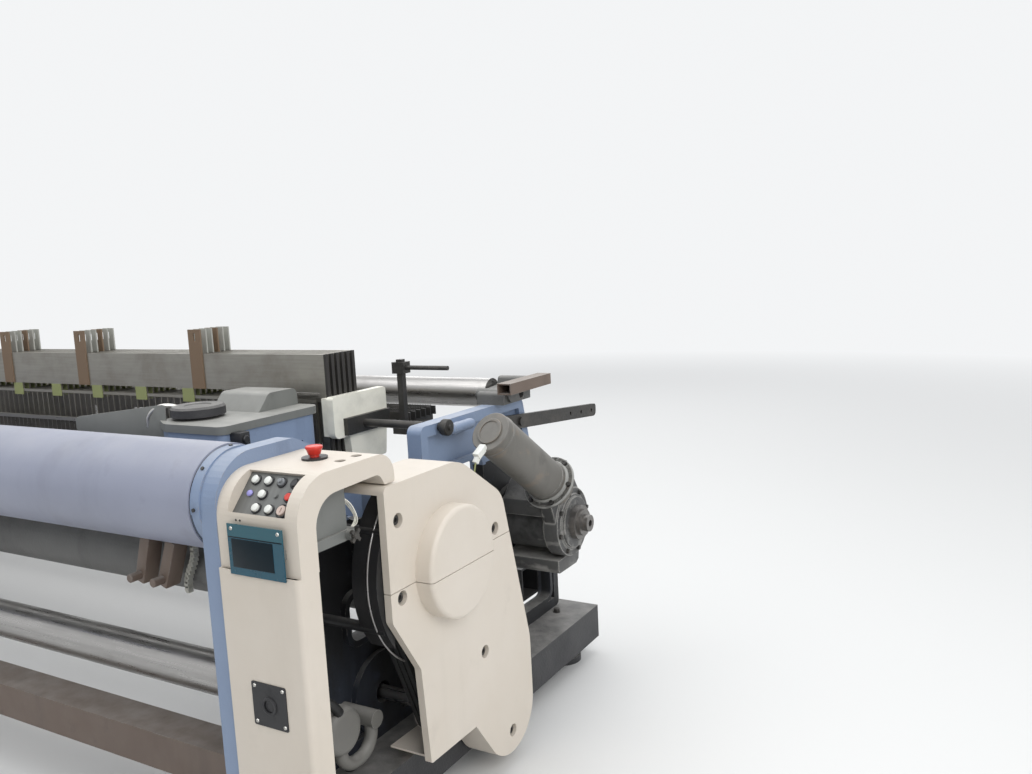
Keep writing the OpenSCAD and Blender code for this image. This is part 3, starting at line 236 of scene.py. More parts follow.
def times(tree, a, b):
    return math_node(tree, "MULTIPLY", a, b)


def darker(colour, share):
    return tuple(part * share for part in colour)


def put_on(tree, shader, tone, rough, height=None, strength=0.15, depth=0.0005):
    """Send a colour, a roughness and a height to the shader."""
    tree.links.new(tone, shader.inputs["Base Color"])
    tree.links.new(rough, shader.inputs["Roughness"])
    if height is not None:
        bump = node(tree, "ShaderNodeBump", {"Strength": strength, "Distance": depth, "Height": height})
        tree.links.new(bump.outputs[0], shader.inputs["Normal"])


print("layers ready")

# %% [markdown]
# ## Masks for places and edges
# Some solids carry two finishes, and paint goes first at edges. A box in the object's own coordinates
# marks a place. An edge is where a rounded normal departs from the true one, and noise breaks the line
# up, because wear is never even.

# %% Masks
EDGE_SAME, EDGE_TURNED = 0.995, 0.9  # how alike the rounded and the true normal are off and on an edge


def box_mask(tree, place, low, high):
    """1 inside a box of the object's own coordinates; None leaves a side open."""
    split = node(tree, "ShaderNodeSeparateXYZ", {0: place.outputs["Object"]})
    mask = None
    for axis in range(3):
        for limit, operation in ((low[axis], "GREATER_THAN"), (high[axis], "LESS_THAN")):
            if limit is not None:
                side = math_node(tree, operation, split.outputs[axis], limit)
                mask = side if mask is None else times(tree, mask, side)
    return mask


def zoned(tree, place, zones, tone, rough, metal=None):
    """Lay a colour and a roughness over each box; a zone is paint, dirt or painted shade, so it isn't metal."""
    for low, high, zone_colour, zone_rough in zones:
        mask = box_mask(tree, place, low, high)
        tone = mix_colour(tree, mask, tone, zone_colour)
        rough = mix_value(tree, mask, rough, zone_rough)
        if metal is not None:
            metal = mix_value(tree, mask, metal, 0.0)
    return tone, rough, metal


def worn_edges(tree, place, radius, amount):
    """A mask along edges, broken up by noise."""
    soft = node(tree, "ShaderNodeBevel", {"Radius": radius}, samples=4)
    true = node(tree, "ShaderNodeNewGeometry")
    same = node(tree, "ShaderNodeVectorMath", {0: soft.outputs[0], 1: true.outputs["Normal"]},
                operation="DOT_PRODUCT").outputs["Value"]
    edge = ramp(tree, same, EDGE_SAME, EDGE_TURNED)
    broken = ramp(tree, noise(tree, place, 24.0, 6.0), 0.62 - 0.3 * amount, 0.70 - 0.3 * amount)
    return times(tree, edge, broken)


print("masks ready")

# %% [markdown]
# ## Painted castings and sheet
# A painted machine is never one colour. Paint yellows and darkens in broad patches, dust settles on
# faces that look up, grease gathers in spots and smears, and edges lose their paint. Each of these is a mask
# made from noise or from the direction of the surface, mixed over the base colour.

# %% Paint
DUST, DUST_ROUGH = (0.62, 0.60, 0.56), 0.85
PAINT_EDGE = 0.0025  # how far paint wears back from an edge


def painted(name, colour, roughness, dark=None, *, dust, grime, wear, bare=(0.25, 0.24, 0.23), grain=0.02,
            grain_scale=350.0, zones=(), wear_radius=PAINT_EDGE, smear=0.0):
    made, tree, shader, place = start_material(name)
    dark = dark or darker(colour, 0.8)
    broad = ramp(tree, noise(tree, place, 1.7, 5.0), 0.35, 0.7)
    tone = mix_colour(tree, times(tree, broad, 0.6), colour, dark)
    rough = ramp(tree, noise(tree, place, 9.0, 5.0), 0.3, 0.7, roughness - 0.06, roughness + 0.10)
    tone, rough, _ = zoned(tree, place, zones, tone, rough)
    spots = ramp(tree, noise(tree, place, 7.0, 9.0, offset=3.0), 0.60, 0.72)
    smears = ramp(tree, noise(tree, place, 5.0, 6.0, (1, 1, 0.18), 7.0), 0.55, 0.75)
    dirt = times(tree, math_node(tree, "MAXIMUM", spots, smears), grime)
    tone = mix_colour(tree, dirt, tone, darker(dark, 0.35))
    if smear:
        rubbed = ramp(tree, noise(tree, place, 16.0, 9.0, (0.4, 1, 1), 11.0), 0.56, 0.66, 0.0, smear)
        tone = mix_colour(tree, rubbed, tone, bare)
    up = node(tree, "ShaderNodeSeparateXYZ", {0: place.outputs["Normal"]}).outputs[2]
    drifts = ramp(tree, noise(tree, place, 14.0, 6.0, offset=1.0), 0.3, 0.7, 0.3, 1.0)
    dusty = times(tree, times(tree, ramp(tree, up, 0.45, 0.95), drifts), dust)
    tone = mix_colour(tree, dusty, tone, DUST)
    rough = mix_value(tree, dusty, rough, DUST_ROUGH)
    if wear:
        worn = worn_edges(tree, place, wear_radius, wear)
        tone = mix_colour(tree, times(tree, worn, min(1.0, wear * 2.2)), tone, bare)
    put_on(tree, shader, tone, rough, noise(tree, place, grain_scale, 3.0), 0.25, grain * 0.05)
    return made


print("paint ready")

# %% [markdown]
# ## Bare metal
# Turned rollers, aluminium bars and black bolts all show streaks along the way they were made or have
# worn. The noise is stretched along one axis, and it changes the roughness more than the colour, which is
# what the eye reads as metal. A dull stain is laid over it, because nothing here is polished.

# %% Metal
STREAK_SCALE = 120.0
STAIN = (0.16, 0.14, 0.12)


def bare_metal(name, colour, roughness, streak, stain, metallic=1.0, zones=()):
    made, tree, shader, place = start_material(name)
    streaks = noise(tree, place, STREAK_SCALE, 3.0, streak)
    tone = mix_colour(tree, ramp(tree, streaks, 0.3, 0.7, 0.0, 0.35), colour, darker(colour, 0.7))
    rough = ramp(tree, streaks, 0.3, 0.7, roughness - 0.08, roughness + 0.12)
    dull = times(tree, ramp(tree, noise(tree, place, 6.0, 8.0, offset=5.0), 0.5, 0.72), stain)
    tone = mix_colour(tree, dull, tone, STAIN)
    rough = mix_value(tree, dull, rough, 0.7)
    metal = ramp(tree, dull, 0.0, 1.0, metallic, metallic * 0.4)
    tone, rough, metal = zoned(tree, place, zones, tone, rough, metal)
    tree.links.new(metal, shader.inputs["Metallic"])
    put_on(tree, shader, tone, rough, streaks)
    return made


print("metal ready")

# %% [markdown]
# ## Plastic and rubber
# Buttons, guide plates, belts and hose are moulded. Their colour is nearly even, so small changes of
# roughness and a little dirt in patches do most of the work.

# %% Plastic
def moulded(name, colour, roughness, dirt, dirt_scale=30.0, grain=0.0, zones=()):
    made, tree, shader, place = start_material(name)
    patches = ramp(tree, noise(tree, place, dirt_scale, 6.0), 0.5, 0.75)
    tone = mix_colour(tree, times(tree, patches, dirt), colour, darker(colour, 0.45))
    rough = ramp(tree, patches, 0.0, 1.0, roughness, min(1.0, roughness + 0.25))
    tone, rough, _ = zoned(tree, place, zones, tone, rough)
    put_on(tree, shader, tone, rough, noise(tree, place, 900.0, 2.0) if grain else None, grain)
    return made


print("plastic ready")

# %% [markdown]
# ## The paints
# The record names a slot for every node, and one finish is made for each slot, with the colours that the
# machine shows in even light. A few more paints are for the fine pieces.

# %% Paints
CREAM, LAVENDER = (0.66, 0.60, 0.525), (0.29, 0.31, 0.395)
BLUE, DARK_BLUE = (0.23, 0.30, 0.43), (0.17, 0.22, 0.33)
BLUE_COAT = dict(roughness=0.42, dark=DARK_BLUE, dust=0.3, grime=0.45, wear=0.4, grain=0.05, grain_scale=160.0)
ROUGH_CAST = dict(grain=0.1, grain_scale=140.0)
finishes = {}


def keep(recipe, name, *look, **more):
    finishes[name] = recipe(name, *look, **more)


keep(painted, "cream_paint", CREAM, 0.42, (0.58, 0.51, 0.42), dust=0.15, grime=0.10, wear=0.12,
     bare=(0.30, 0.27, 0.24))
keep(painted, "blue_paint", BLUE, **BLUE_COAT)
keep(painted, "lavender_paint", LAVENDER, 0.36, (0.22, 0.235, 0.30), dust=0.2, grime=0.22, wear=0.0)
keep(painted, "grey_paint", (0.17, 0.165, 0.15), 0.5, (0.11, 0.105, 0.10), dust=0.35, grime=0.4, wear=0.5,
     bare=(0.32, 0.31, 0.29))
keep(painted, "lid_paint", (0.185, 0.19, 0.178), 0.42, (0.12, 0.125, 0.12), dust=0.4, grime=0.3, wear=0.3)
keep(painted, "black_paint", (0.013, 0.013, 0.014), 0.5, dust=0.1, grime=0.2, wear=0.3, bare=(0.12, 0.12, 0.12))
keep(painted, "cast_grey", (0.13, 0.13, 0.125), 0.55, (0.07, 0.07, 0.068), dust=0.3, grime=0.6, wear=0.4,
     bare=(0.3, 0.29, 0.27), **ROUGH_CAST)
keep(painted, "dark_casting", (0.03, 0.03, 0.033), 0.5, dust=0.35, grime=0.4, wear=0.3, bare=(0.14, 0.13, 0.12),
     **ROUGH_CAST)
keep(painted, "brown_paint", (0.16, 0.12, 0.095), 0.5, (0.10, 0.07, 0.055), dust=0.3, grime=0.4, wear=0.4)
keep(painted, "smeared_grey", (0.36, 0.36, 0.34), 0.5, (0.16, 0.16, 0.15), dust=0.3, grime=0.9, wear=0.3)
keep(painted, "motor_paint", (0.165, 0.158, 0.142), 0.46, (0.10, 0.094, 0.085), dust=0.3, grime=0.55, wear=0.4,
     bare=(0.24, 0.185, 0.135), smear=0.4)
keep(painted, "greasy_casting", (0.085, 0.085, 0.083), 0.42, (0.03, 0.03, 0.03), dust=0.55, grime=0.9, wear=0.9,
     bare=(0.34, 0.33, 0.31), wear_radius=0.006, smear=0.55, **ROUGH_CAST)
print("paints:", len(finishes))

# %% [markdown]
# ## The metals and plastics
# The other two recipes make everything that isn't painted. The streaks of a roller run along it, and
# those of a wire run up it. The display's pane gets a low specular level, because the real one is dull.

# %% Metals and plastics
keep(bare_metal, "steel", (0.42, 0.41, 0.40), 0.3, (0.05, 1, 1), 0.4)
keep(bare_metal, "dark_steel", (0.07, 0.068, 0.065), 0.45, (0.3, 1, 1), 0.4, 0.7)
keep(bare_metal, "keypad_metal", (0.15, 0.155, 0.15), 0.45, (1, 0.05, 0.05), 0.15, 0.4)
keep(bare_metal, "pale_metal", (0.62, 0.61, 0.58), 0.35, (1, 1, 1), 0.15)
keep(bare_metal, "heald_steel", (0.22, 0.21, 0.20), 0.4, (1, 1, 0.05), 0.5, 0.8)
keep(moulded, "ivory_plastic", (0.84, 0.82, 0.72), 0.5, 0.35, 12.0, 0.1)
keep(moulded, "white_plastic", (0.74, 0.75, 0.71), 0.25, 0.1)
keep(moulded, "grey_plastic", (0.20, 0.21, 0.22), 0.3, 0.1)
keep(moulded, "red_plastic", (0.62, 0.035, 0.022), 0.3, 0.2, 60.0)
keep(moulded, "black_plastic", (0.014, 0.014, 0.016), 0.4, 0.2, 40.0, 0.1)
keep(moulded, "black_rubber", (0.012, 0.012, 0.012), 0.6, 0.2, 25.0, 0.2)
keep(moulded, "pale_rubber", (0.42, 0.41, 0.36), 0.6, 0.7, 60.0, 0.3)
keep(moulded, "lcd_glass", (0.006, 0.014, 0.020), 0.28, 0.3, 20.0)
keep(moulded, "violet_lens", (0.30, 0.28, 0.62), 0.15, 0.2, 60.0)
keep(moulded, "earth_lead", (0.26, 0.28, 0.12), 0.5, 0.5, 40.0)
pane_shader = finishes["lcd_glass"].node_tree.nodes["Principled BSDF"]
pane_shader.inputs["Specular IOR Level"].default_value = 0.15
print("finishes:", len(finishes))

# %% [markdown]
# ## Side frames of two finishes
# The side frames are blue where they are seen. Behind the drive covers the casting is painted black as
# deep shade, and inward of that, low down, it is painted darker as shade. Two dark seams run where the
# flange of the tube meets the casting. The zones are written for the right side, and the left side gets
# them mirrored.

# %% Side frame zones
# Painted shade: the black laid on the casting behind the drive covers, where it lies in deep shade.
DEEP_SHADE = (0.011, 0.0115, 0.013)
SHADE_X = 2.092  # metres from the middle; outside this plane the casting is painted black as deep shade
SEAM_BACK = FRONT + 0.27
# The first zone is painted deep shade behind the drive covers, the two narrow ones are dark seams, and the last
# is painted shade over the casting inward of the shade plane, below 0.7 m.
side_zones = [((SHADE_X, FRONT + 0.13, None), (None, None, 0.81), DEEP_SHADE, 0.6),
              ((2.0485, None, 0.80), (2.0525, SEAM_BACK, None), (0.02, 0.02, 0.025), 0.7),
              ((2.0535, None, 0.80), (2.0565, SEAM_BACK, 0.93), (0.03, 0.035, 0.045), 0.7),
              ((None, FRONT + 0.10, None), (SHADE_X, None, 0.70), (0.05, 0.053, 0.062), 0.55)]


def mirrored(zones):
    """The same boxes on the other side of the loom."""
    def flip(value):
        return None if value is None else -value
    return [((flip(high[0]), *low[1:]), (flip(low[0]), *high[1:]), tint, rough)
            for low, high, tint, rough in zones]


own = {"side_frame_right": painted("side_paint_right", BLUE, zones=side_zones, **BLUE_COAT),
       "side_frame_left": painted("side_paint_left", BLUE, zones=mirrored(side_zones), **BLUE_COAT)}
print("zones on each side frame:", len(side_zones))

# %% [markdown]
# ## Heald frames and small parts with zones
# The heald frames are bare aluminium with dark end blocks, brown or pale spacer plates, and yellowish
# clips under the bar. These are flush with the bar, so a painted zone looks the same as a solid of its
# own. The frames stand one behind another, so each zone starts from its own frame's middle.

# %% Heald frame zones
FRAME_NUMBERS = range(1, 7)
FIRST_FRAME_Y, FRAME_PITCH = 744, 24  # millimetres from the front
BROWN_FRAMES = (1, 4)
BROWN_SPACERS = (0.195, 0.655, 1.260)
SPACER_HALF = 0.030
END_BLOCK_X = 1.811
CLIP_REACH, CLIP_LOW, CLIP_HIGH = 1.70, 1.042, 1.0875
SPACER_LOW, PLATES_LOW = 1.08, 1.2045
CLIP_FACE, SPACER_FACE = 0.0022, 0.0048  # how far before the frame's middle the painted faces begin
END_BLOCK, CLIP_GREEN = (0.028, 0.026, 0.024), (0.30, 0.33, 0.14)
BROWN_PLATE, PALE_PLATE = (0.20, 0.135, 0.085), (0.42, 0.42, 0.38)


def frame_metal(number):
    """Aluminium of one heald frame, with its end blocks, spacer plates and clips."""
    mid = FRONT + (FIRST_FRAME_Y + (number - 1) * FRAME_PITCH) / 1000
    brown = number in BROWN_FRAMES
    everywhere = (None, None, None)
    zones = [((END_BLOCK_X, None, None), everywhere, END_BLOCK, 0.6),
             (everywhere, (-END_BLOCK_X, None, None), END_BLOCK, 0.6),
             ((None, None, PLATES_LOW), everywhere, BROWN_PLATE if brown else PALE_PLATE, 0.6),
             ((-CLIP_REACH, None, CLIP_LOW), (CLIP_REACH, mid - CLIP_FACE, CLIP_HIGH), CLIP_GREEN, 0.55)]
    if brown:
        zones += [((side * x - SPACER_HALF, None, SPACER_LOW), (side * x + SPACER_HALF, mid - SPACER_FACE,
                   None), BROWN_PLATE, 0.6) for side in (-1, 1) for x in BROWN_SPACERS]
    return bare_metal("frame_metal_%d" % number, (0.39, 0.375, 0.335), 0.42, (0.04, 1, 1), 0.55,
                      zones=zones)


for number in FRAME_NUMBERS:
    own["heald_frame_%d" % number] = frame_metal(number)
DISPLAY_STRIP_Z = 0.898
own |= {
    "display_window": moulded("display_film", (0.010, 0.075, 0.115), 0.2, 0.3, 30.0, zones=[
        ((None, None, DISPLAY_STRIP_Z), (None, None, None), (0.018, 0.095, 0.125), 0.22)]),
    "reverse_button": finishes["black_plastic"],
    "key_switch": moulded("key_face", (0.56, 0.44, 0.38), 0.35, 0.3, 50.0),
    "letoff_hub": bare_metal("hub_metal", (0.24, 0.23, 0.22), 0.4, (0.05, 1, 1), 0.8),
}
print("nodes with a finish of their own:", len(own))

# %% [markdown]
# ## Dressing the frame
# Every solid of the frame arrives with a plain material. Its slot in the record says what it is made of,
# so one loop gives each node its finish, and only the nodes listed above get their own.

# %% Dress the nodes
slot_of = {row["node"]: row["material_slot"] for row in frame["record"]["subparts"]}
for name, target in nodes.items():
    target.data.materials.clear()
    target.data.materials.append(own.get(name) or finishes[slot_of[name]])
print("nodes dressed:", len(nodes))

# %% [markdown]
# ## Places and small builders
# The construction file measures depth from the front of the machine and height from the floor, in
# millimetres. The same way of giving a place is used here, so that a screw can be set where the casting
# has its hole. Faces are shaded smooth, and an edge that turns more than 35 degrees stays sharp.

# %% Placing and finishing
SHARP_ANGLE = math.radians(35)
WELD = 1e-6
OUT_X = 2130  # the outer face of the side frames, in millimetres from the middle


def at(x, y, z):
    return Vector((x / 1000.0, FRONT + y / 1000.0, z / 1000.0))


def add_piece(name, mesh, finish, body="loom_frame"):
    """Give a mesh its finish and its body."""
    mesh.materials.clear()
    mesh.materials.append(finishes[finish])
    made = bpy.data.objects.new(name, mesh)
    SCENE.collection.objects.link(made)
    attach(made, body)
    return made


def finish_shape(name, shape, finish, body="loom_frame"):
    """Turn a bmesh into a piece of the loom."""
    bmesh.ops.remove_doubles(shape, verts=shape.verts, dist=WELD)
    bmesh.ops.recalc_face_normals(shape, faces=shape.faces)
    for face in shape.faces:
        face.smooth = True
    for edge in shape.edges:
        edge.smooth = edge.calc_face_angle(0.0) < SHARP_ANGLE
    mesh = bpy.data.meshes.new(name)
    shape.to_mesh(mesh)
    shape.free()
    made = add_piece(name, mesh, finish, body)
    print(name, "has", len(mesh.polygons), "faces")
    return made


def turned(degrees, axis):
    return Matrix.Rotation(math.radians(degrees), 4, axis)


def moved(frame_matrix, x, y, z):
    """A frame moved along its own axes, in millimetres."""
    return frame_matrix @ Matrix.Translation((x / 1000, y / 1000, z / 1000))


def facing(place, direction):
    """A frame whose Z axis points along a direction."""
    return Matrix.Translation(place) @ Vector(direction).to_track_quat("Z", "Y").to_matrix().to_4x4()


def upright(y):
    """A frame in which an outline of x and heights stands upright and faces the front."""
    return Matrix.Translation((0, y, 0)) @ turned(90, "X")


print("front of the machine at y =", round(FRONT, 4))

# %% [markdown]
# ## Turned, flat and square stock
# Most fittings of a machine are turned, cut from plate or cut from bar, so three builders make nearly all
# of them. Blender's own cylinder and cube have no lips, steps or rounded edges, and those are what
# catches the light.

# %% Turned, flat and square
def around(count, wide, high=None, first=0.0):
    """Points evenly round a circle or an oval; first is the angle of the first one, in degrees."""
    angles = [math.radians(first) + 2 * math.pi * i / count for i in range(count)]
    return [(wide * math.cos(angle), (high or wide) * math.sin(angle)) for angle in angles]


def lathe(shape, profile, frame_matrix, sides):
    """Turn a profile of (radius, height) in millimetres; a radius of 0 closes it."""
    rings = [[shape.verts.new(frame_matrix @ Vector((x / 1000, y / 1000, height / 1000)))
              for x, y in around(sides if radius else 1, radius)] for radius, height in profile]
    for low, high in zip(rings, rings[1:]):
        for i in range(sides):
            j = (i + 1) % sides
            corners = [low[i % len(low)], low[j % len(low)], high[j % len(high)], high[i % len(high)]]
            unique = list(dict.fromkeys(corners))
            if len(unique) > 2:
                shape.faces.new(unique)


def slab(shape, outline, thick, frame_matrix, bevel):
    """A plate of a plane outline in millimetres, with its edges rounded; a bevel of 0 leaves them sharp."""
    low, high = [[shape.verts.new(frame_matrix @ Vector((x / 1000, y / 1000, level / 1000)))
                  for x, y in outline] for level in (0, thick)]
    faces = [shape.faces.new(low[::-1]), shape.faces.new(high)]
    for i in range(len(outline)):
        j = (i + 1) % len(outline)
        faces.append(shape.faces.new([low[i], low[j], high[j], high[i]]))
    edges = list({edge for face in faces for edge in face.edges})
    if bevel:
        bmesh.ops.bevel(shape, geom=edges, offset=bevel / 1000, segments=2, affect="EDGES", profile=0.5)


def panel(xs, ys):
    return [(xs[0], ys[0]), (xs[1], ys[0]), (xs[1], ys[1]), (xs[0], ys[1])]


def rectangle(width, depth):
    return panel((-width / 2, width / 2), (-depth / 2, depth / 2))


def bar(shape, size, frame_matrix, bevel):
    """A bar centred on its frame, standing on Z = 0."""
    slab(shape, rectangle(size[0], size[1]), size[2], frame_matrix, bevel)


def turned_piece(name, profile, frame_matrix, sides, finish, body="loom_frame"):
    shape = bmesh.new()
    lathe(shape, profile, frame_matrix, sides)
    return finish_shape(name, shape, finish, body)


def plate_piece(name, outline, thick, frame_matrix, bevel, finish):
    shape = bmesh.new()
    slab(shape, outline, thick, frame_matrix, bevel)
    return finish_shape(name, shape, finish)


print("builders ready")

# %% [markdown]
# ## Opening, closing and growing a tree
# Screws, rings and links repeat at known places. Hoses and leads follow a path. Heald wires and reed
# wires stand in long even rows. Each of these is one Geometry Nodes tree with named inputs. A tree is
# evaluated once, its result is kept as a plain mesh, and the seed object is thrown away, so that nothing
# in the finished file depends on a live modifier.

# %% Trees in general
def open_tree(name, **inputs):
    tree = bpy.data.node_groups.new(name, "GeometryNodeTree")
    tree.interface.new_socket("Geometry", in_out="INPUT", socket_type="NodeSocketGeometry")
    for label, kind in inputs.items():
        tree.interface.new_socket(label, in_out="INPUT", socket_type="NodeSocket" + kind)
    tree.interface.new_socket("Geometry", in_out="OUTPUT", socket_type="NodeSocketGeometry")
    return tree, tree.nodes.new("NodeGroupInput").outputs


def close_tree(tree, geometry, material):
    real = node(tree, "GeometryNodeRealizeInstances", {"Geometry": geometry})
    coated = node(tree, "GeometryNodeSetMaterial", {"Geometry": real.outputs[0], "Material": material})
    node(tree, "NodeGroupOutput", {"Geometry": coated.outputs[0]})


def grow(name, tree, seed_mesh, inputs, finish, body):
    """Evaluate a tree on a seed and keep the plain mesh as a piece."""
    seed = bpy.data.objects.new(name + "_seed", seed_mesh)
    SCENE.collection.objects.link(seed)
    modifier = seed.modifiers.new("grow", "NODES")
    modifier.node_group = tree
    sockets = {item.name: item.identifier for item in tree.interface.items_tree if item.in_out == "INPUT"}
    modifier[sockets["Finish"]] = finishes[finish]
    for label, value in inputs.items():
        modifier[sockets[label]] = value
    bpy.context.view_layer.update()
    mesh = bpy.data.meshes.new_from_object(seed.evaluated_get(bpy.context.evaluated_depsgraph_get()))
    mesh.name = name
    bpy.data.objects.remove(seed)
    print(name, "grew", len(mesh.polygons), "faces")
    return add_piece(name, mesh, finish, body)


print("tree helpers ready")

# %% [markdown]
# ## A tree that copies one piece onto points
# Bolts, rings and chain links are one small piece at many places, each with its own turn. An array
# modifier only makes straight rows, so the seed is a mesh of loose points that carry their turn as an
# attribute.

# %% Copies on points
repeat_tree, given = open_tree("repeat_on_points", Copied="Object", Finish="Material")
turn = node(repeat_tree, "GeometryNodeInputNamedAttribute", {"Name": "turn"}, data_type="FLOAT_VECTOR")
spun = node(repeat_tree, "FunctionNodeEulerToRotation", {0: turn.outputs[0]})
copied = node(repeat_tree, "GeometryNodeObjectInfo", {"Object": given["Copied"]})
copies = node(repeat_tree, "GeometryNodeInstanceOnPoints", {
    "Points": given["Geometry"], "Instance": copied.outputs["Geometry"], "Rotation": spun.outputs[0]})
close_tree(repeat_tree, copies.outputs[0], given["Finish"])


def pattern(shape):
    """A small mesh to be copied by a tree; it is removed after use."""
    bmesh.ops.recalc_face_normals(shape, faces=shape.faces)
    mesh = bpy.data.meshes.new("pattern")
    shape.to_mesh(mesh)
    shape.free()
    made = bpy.data.objects.new("pattern", mesh)
    SCENE.collection.objects.link(made)
    return made


def copies_of(name, shape, frames, finish):
    original = pattern(shape)
    seed = bpy.data.meshes.new(name + "_points")
    seed.from_pydata([place.translation for place in frames], [], [])
    turns = seed.attributes.new("turn", "FLOAT_VECTOR", "POINT")
    for value, place in zip(turns.data, frames):
        value.vector = place.to_euler()
    grow(name, repeat_tree, seed, {"Copied": original}, finish, "loom_frame")
    bpy.data.objects.remove(original)


print("tree:", repeat_tree.name)

# %% [markdown]
# ## A tree that draws a tube along a path
# Hoses, leads and a bent pipe are round and follow a smooth line. A bevelled curve could make most of
# them, but a corrugated hose needs a radius that swells and shrinks. The tree steps evenly along the path
# and adds a ripple to every second step.

# %% Tube along a path
tube_tree, given = open_tree("tube_along_path", Radius="Float", Sides="Int", Step="Float",
                             Ripple="Float", Finish="Material")
path = node(tube_tree, "GeometryNodeMeshToCurve", {0: given["Geometry"]})
even = node(tube_tree, "GeometryNodeResampleCurve", {"Curve": path.outputs[0], "Length": given["Step"]},
            mode="LENGTH")
index = node(tube_tree, "GeometryNodeInputIndex")
odd = math_node(tube_tree, "MODULO", index.outputs[0], 2.0)
swell = node(tube_tree, "ShaderNodeMath", {0: odd, 1: given["Ripple"], 2: given["Radius"]},
             operation="MULTIPLY_ADD")
outline_ring = node(tube_tree, "GeometryNodeCurvePrimitiveCircle",
                    {"Resolution": given["Sides"], "Radius": 1.0})
sized = node(tube_tree, "GeometryNodeSetCurveRadius", {"Curve": even.outputs[0],
                                                       "Radius": swell.outputs[0]})
radius_field = node(tube_tree, "GeometryNodeInputRadius")
tube = node(tube_tree, "GeometryNodeCurveToMesh", {
    "Curve": sized.outputs[0], "Profile Curve": outline_ring.outputs[0],
    "Scale": radius_field.outputs[0], "Fill Caps": True})
shaded = node(tube_tree, "GeometryNodeSetShadeSmooth", {"Geometry": tube.outputs[0]})
close_tree(tube_tree, shaded.outputs[0], given["Finish"])


def smooth_path(points, per_span=8):
    """Points of a smooth curve through the given ones."""
    ends = [points[0] * 2 - points[1]] + list(points) + [points[-1] * 2 - points[-2]]
    out = []
    for a, b, c, d in zip(ends, ends[1:], ends[2:], ends[3:]):
        for i in range(per_span):
            t = i / per_span
            out.append(0.5 * (2 * b + (c - a) * t + (2 * a - 5 * b + 4 * c - d) * t * t
                              + (3 * b - a - 3 * c + d) * t ** 3))
    return out + [points[-1]]


def tube_through(name, points, diameter, finish, sides=14, step=0.006, ripple=0.0):
    path_points = smooth_path(points)
    seed = bpy.data.meshes.new(name + "_path")
    seed.from_pydata(path_points, [(i, i + 1) for i in range(len(path_points) - 1)], [])
    grow(name, tube_tree, seed, {"Radius": diameter / 2000, "Sides": sides, "Step": step,
                                 "Ripple": ripple}, finish, "loom_frame")


print("tree:", tube_tree.name)

# %% [markdown]
# ## A tree that sets an even row
# Heald wires, reed wires and contact teeth stand in rows of hundreds. A row is a line of points from a
# start and a step, so its seed is an empty mesh, and each copy has only a few dozen faces.

# %% Even row
row_tree, given = open_tree("even_row", Copied="Object", Count="Int", Start="Vector", Step="Vector",
                            Finish="Material")
line = node(row_tree, "GeometryNodeMeshLine", {"Count": given["Count"], "Start Location": given["Start"],
                                               "Offset": given["Step"]})
copied = node(row_tree, "GeometryNodeObjectInfo", {"Object": given["Copied"]})
copies = node(row_tree, "GeometryNodeInstanceOnPoints", {"Points": line.outputs[0],
                                                         "Instance": copied.outputs["Geometry"]})
close_tree(row_tree, copies.outputs[0], given["Finish"])


def rows_of(shape, count, pitch, finish, rows):
    """Rows of one shape, with its pitch in millimetres; each row is (name, start, body)."""
    original = pattern(shape)
    for name, start, body in rows:
        grow(name, row_tree, bpy.data.meshes.new(name + "_seed"),
             {"Copied": original, "Count": count, "Start": tuple(start), "Step": (pitch / 1000, 0, 0)},
             finish, body)
    bpy.data.objects.remove(original)


print("tree:", row_tree.name)

# %% [markdown]
# ## Bolt and screw heads
# Two heads are copied all over the machine: a hexagon on its washer, and a low dome with a recess. Only
# heads are made, because the shanks are hidden in the castings.

# %% Heads
HEAD_SIDES, WASHER_SIDES, SCREW_SIDES = 6, 20, 18


def hex_bolt(size, head):
    """A hexagon head on a washer, standing on Z = 0."""
    shape = bmesh.new()
    lathe(shape, [(0, 0), (size * 1.05, 0), (size * 1.05, size * 0.16), (0, size * 0.16)], Matrix(),
          WASHER_SIDES)
    slab(shape, around(HEAD_SIDES, size * 0.92), head, moved(Matrix(), 0, 0, size * 0.12), size * 0.06)
    return shape


def pan_screw(radius):
    """A low domed screw head with a recess."""
    shape = bmesh.new()
    lathe(shape, [(0, 0.3), (radius * 0.42, 0.3), (radius * 0.48, radius * 0.42),
                  (radius * 0.8, radius * 0.34), (radius, 0), (radius * 0.9, -0.5), (0, -0.5)],
          Matrix(), SCREW_SIDES)
    return shape


print("heads ready")

# %% [markdown]
# ## Shade rings and button caps
# Eight buttons sit on the sloping plate, in columns and rows, each in a black ring of painted shade. Five
# of them are white and slightly domed. The frame has the straight part of each button, so a thin dome is
# laid on it and rides with it, and one painted shade ring is copied round all eight.

# %% Button rings and caps
KEYPAD = Matrix.Translation(at(2164.5, 20, 938.97)) @ turned(48, "X")
COLUMNS = (26, 64, 102, 140)
ROWS = (19.5, 52.5, 85.5)
BUTTON_RISE = 7.0
BUTTONS = {"start_button": (COLUMNS[0], ROWS[2]), "inch_button": (COLUMNS[1], ROWS[2]),
           "reverse_button": (COLUMNS[2], ROWS[2]), "lamp_button": (COLUMNS[3], ROWS[2]),
           "pick_button": (COLUMNS[1], ROWS[1]), "stop_button": (COLUMNS[3], ROWS[1]),
           "feed_button": (COLUMNS[1], ROWS[0]), "reset_button": (COLUMNS[2], ROWS[0])}
DOMED = ("start_button", "inch_button", "pick_button", "feed_button", "reset_button")


def on_keypad(spot, rise=0.0):
    return moved(KEYPAD, spot[0], spot[1], rise)


# Painted shade: a black ring round each button stands for the shade round it on the plate.
ring = bmesh.new()
lathe(ring, [(9.4, 0.8), (9.4, 2.8), (10.6, 3.4), (12.4, 2.8), (12.9, 0.0), (9.4, 0.8)], Matrix(), 40)
copies_of("button_rings", ring, [on_keypad(spot) for spot in BUTTONS.values()], "black_plastic")

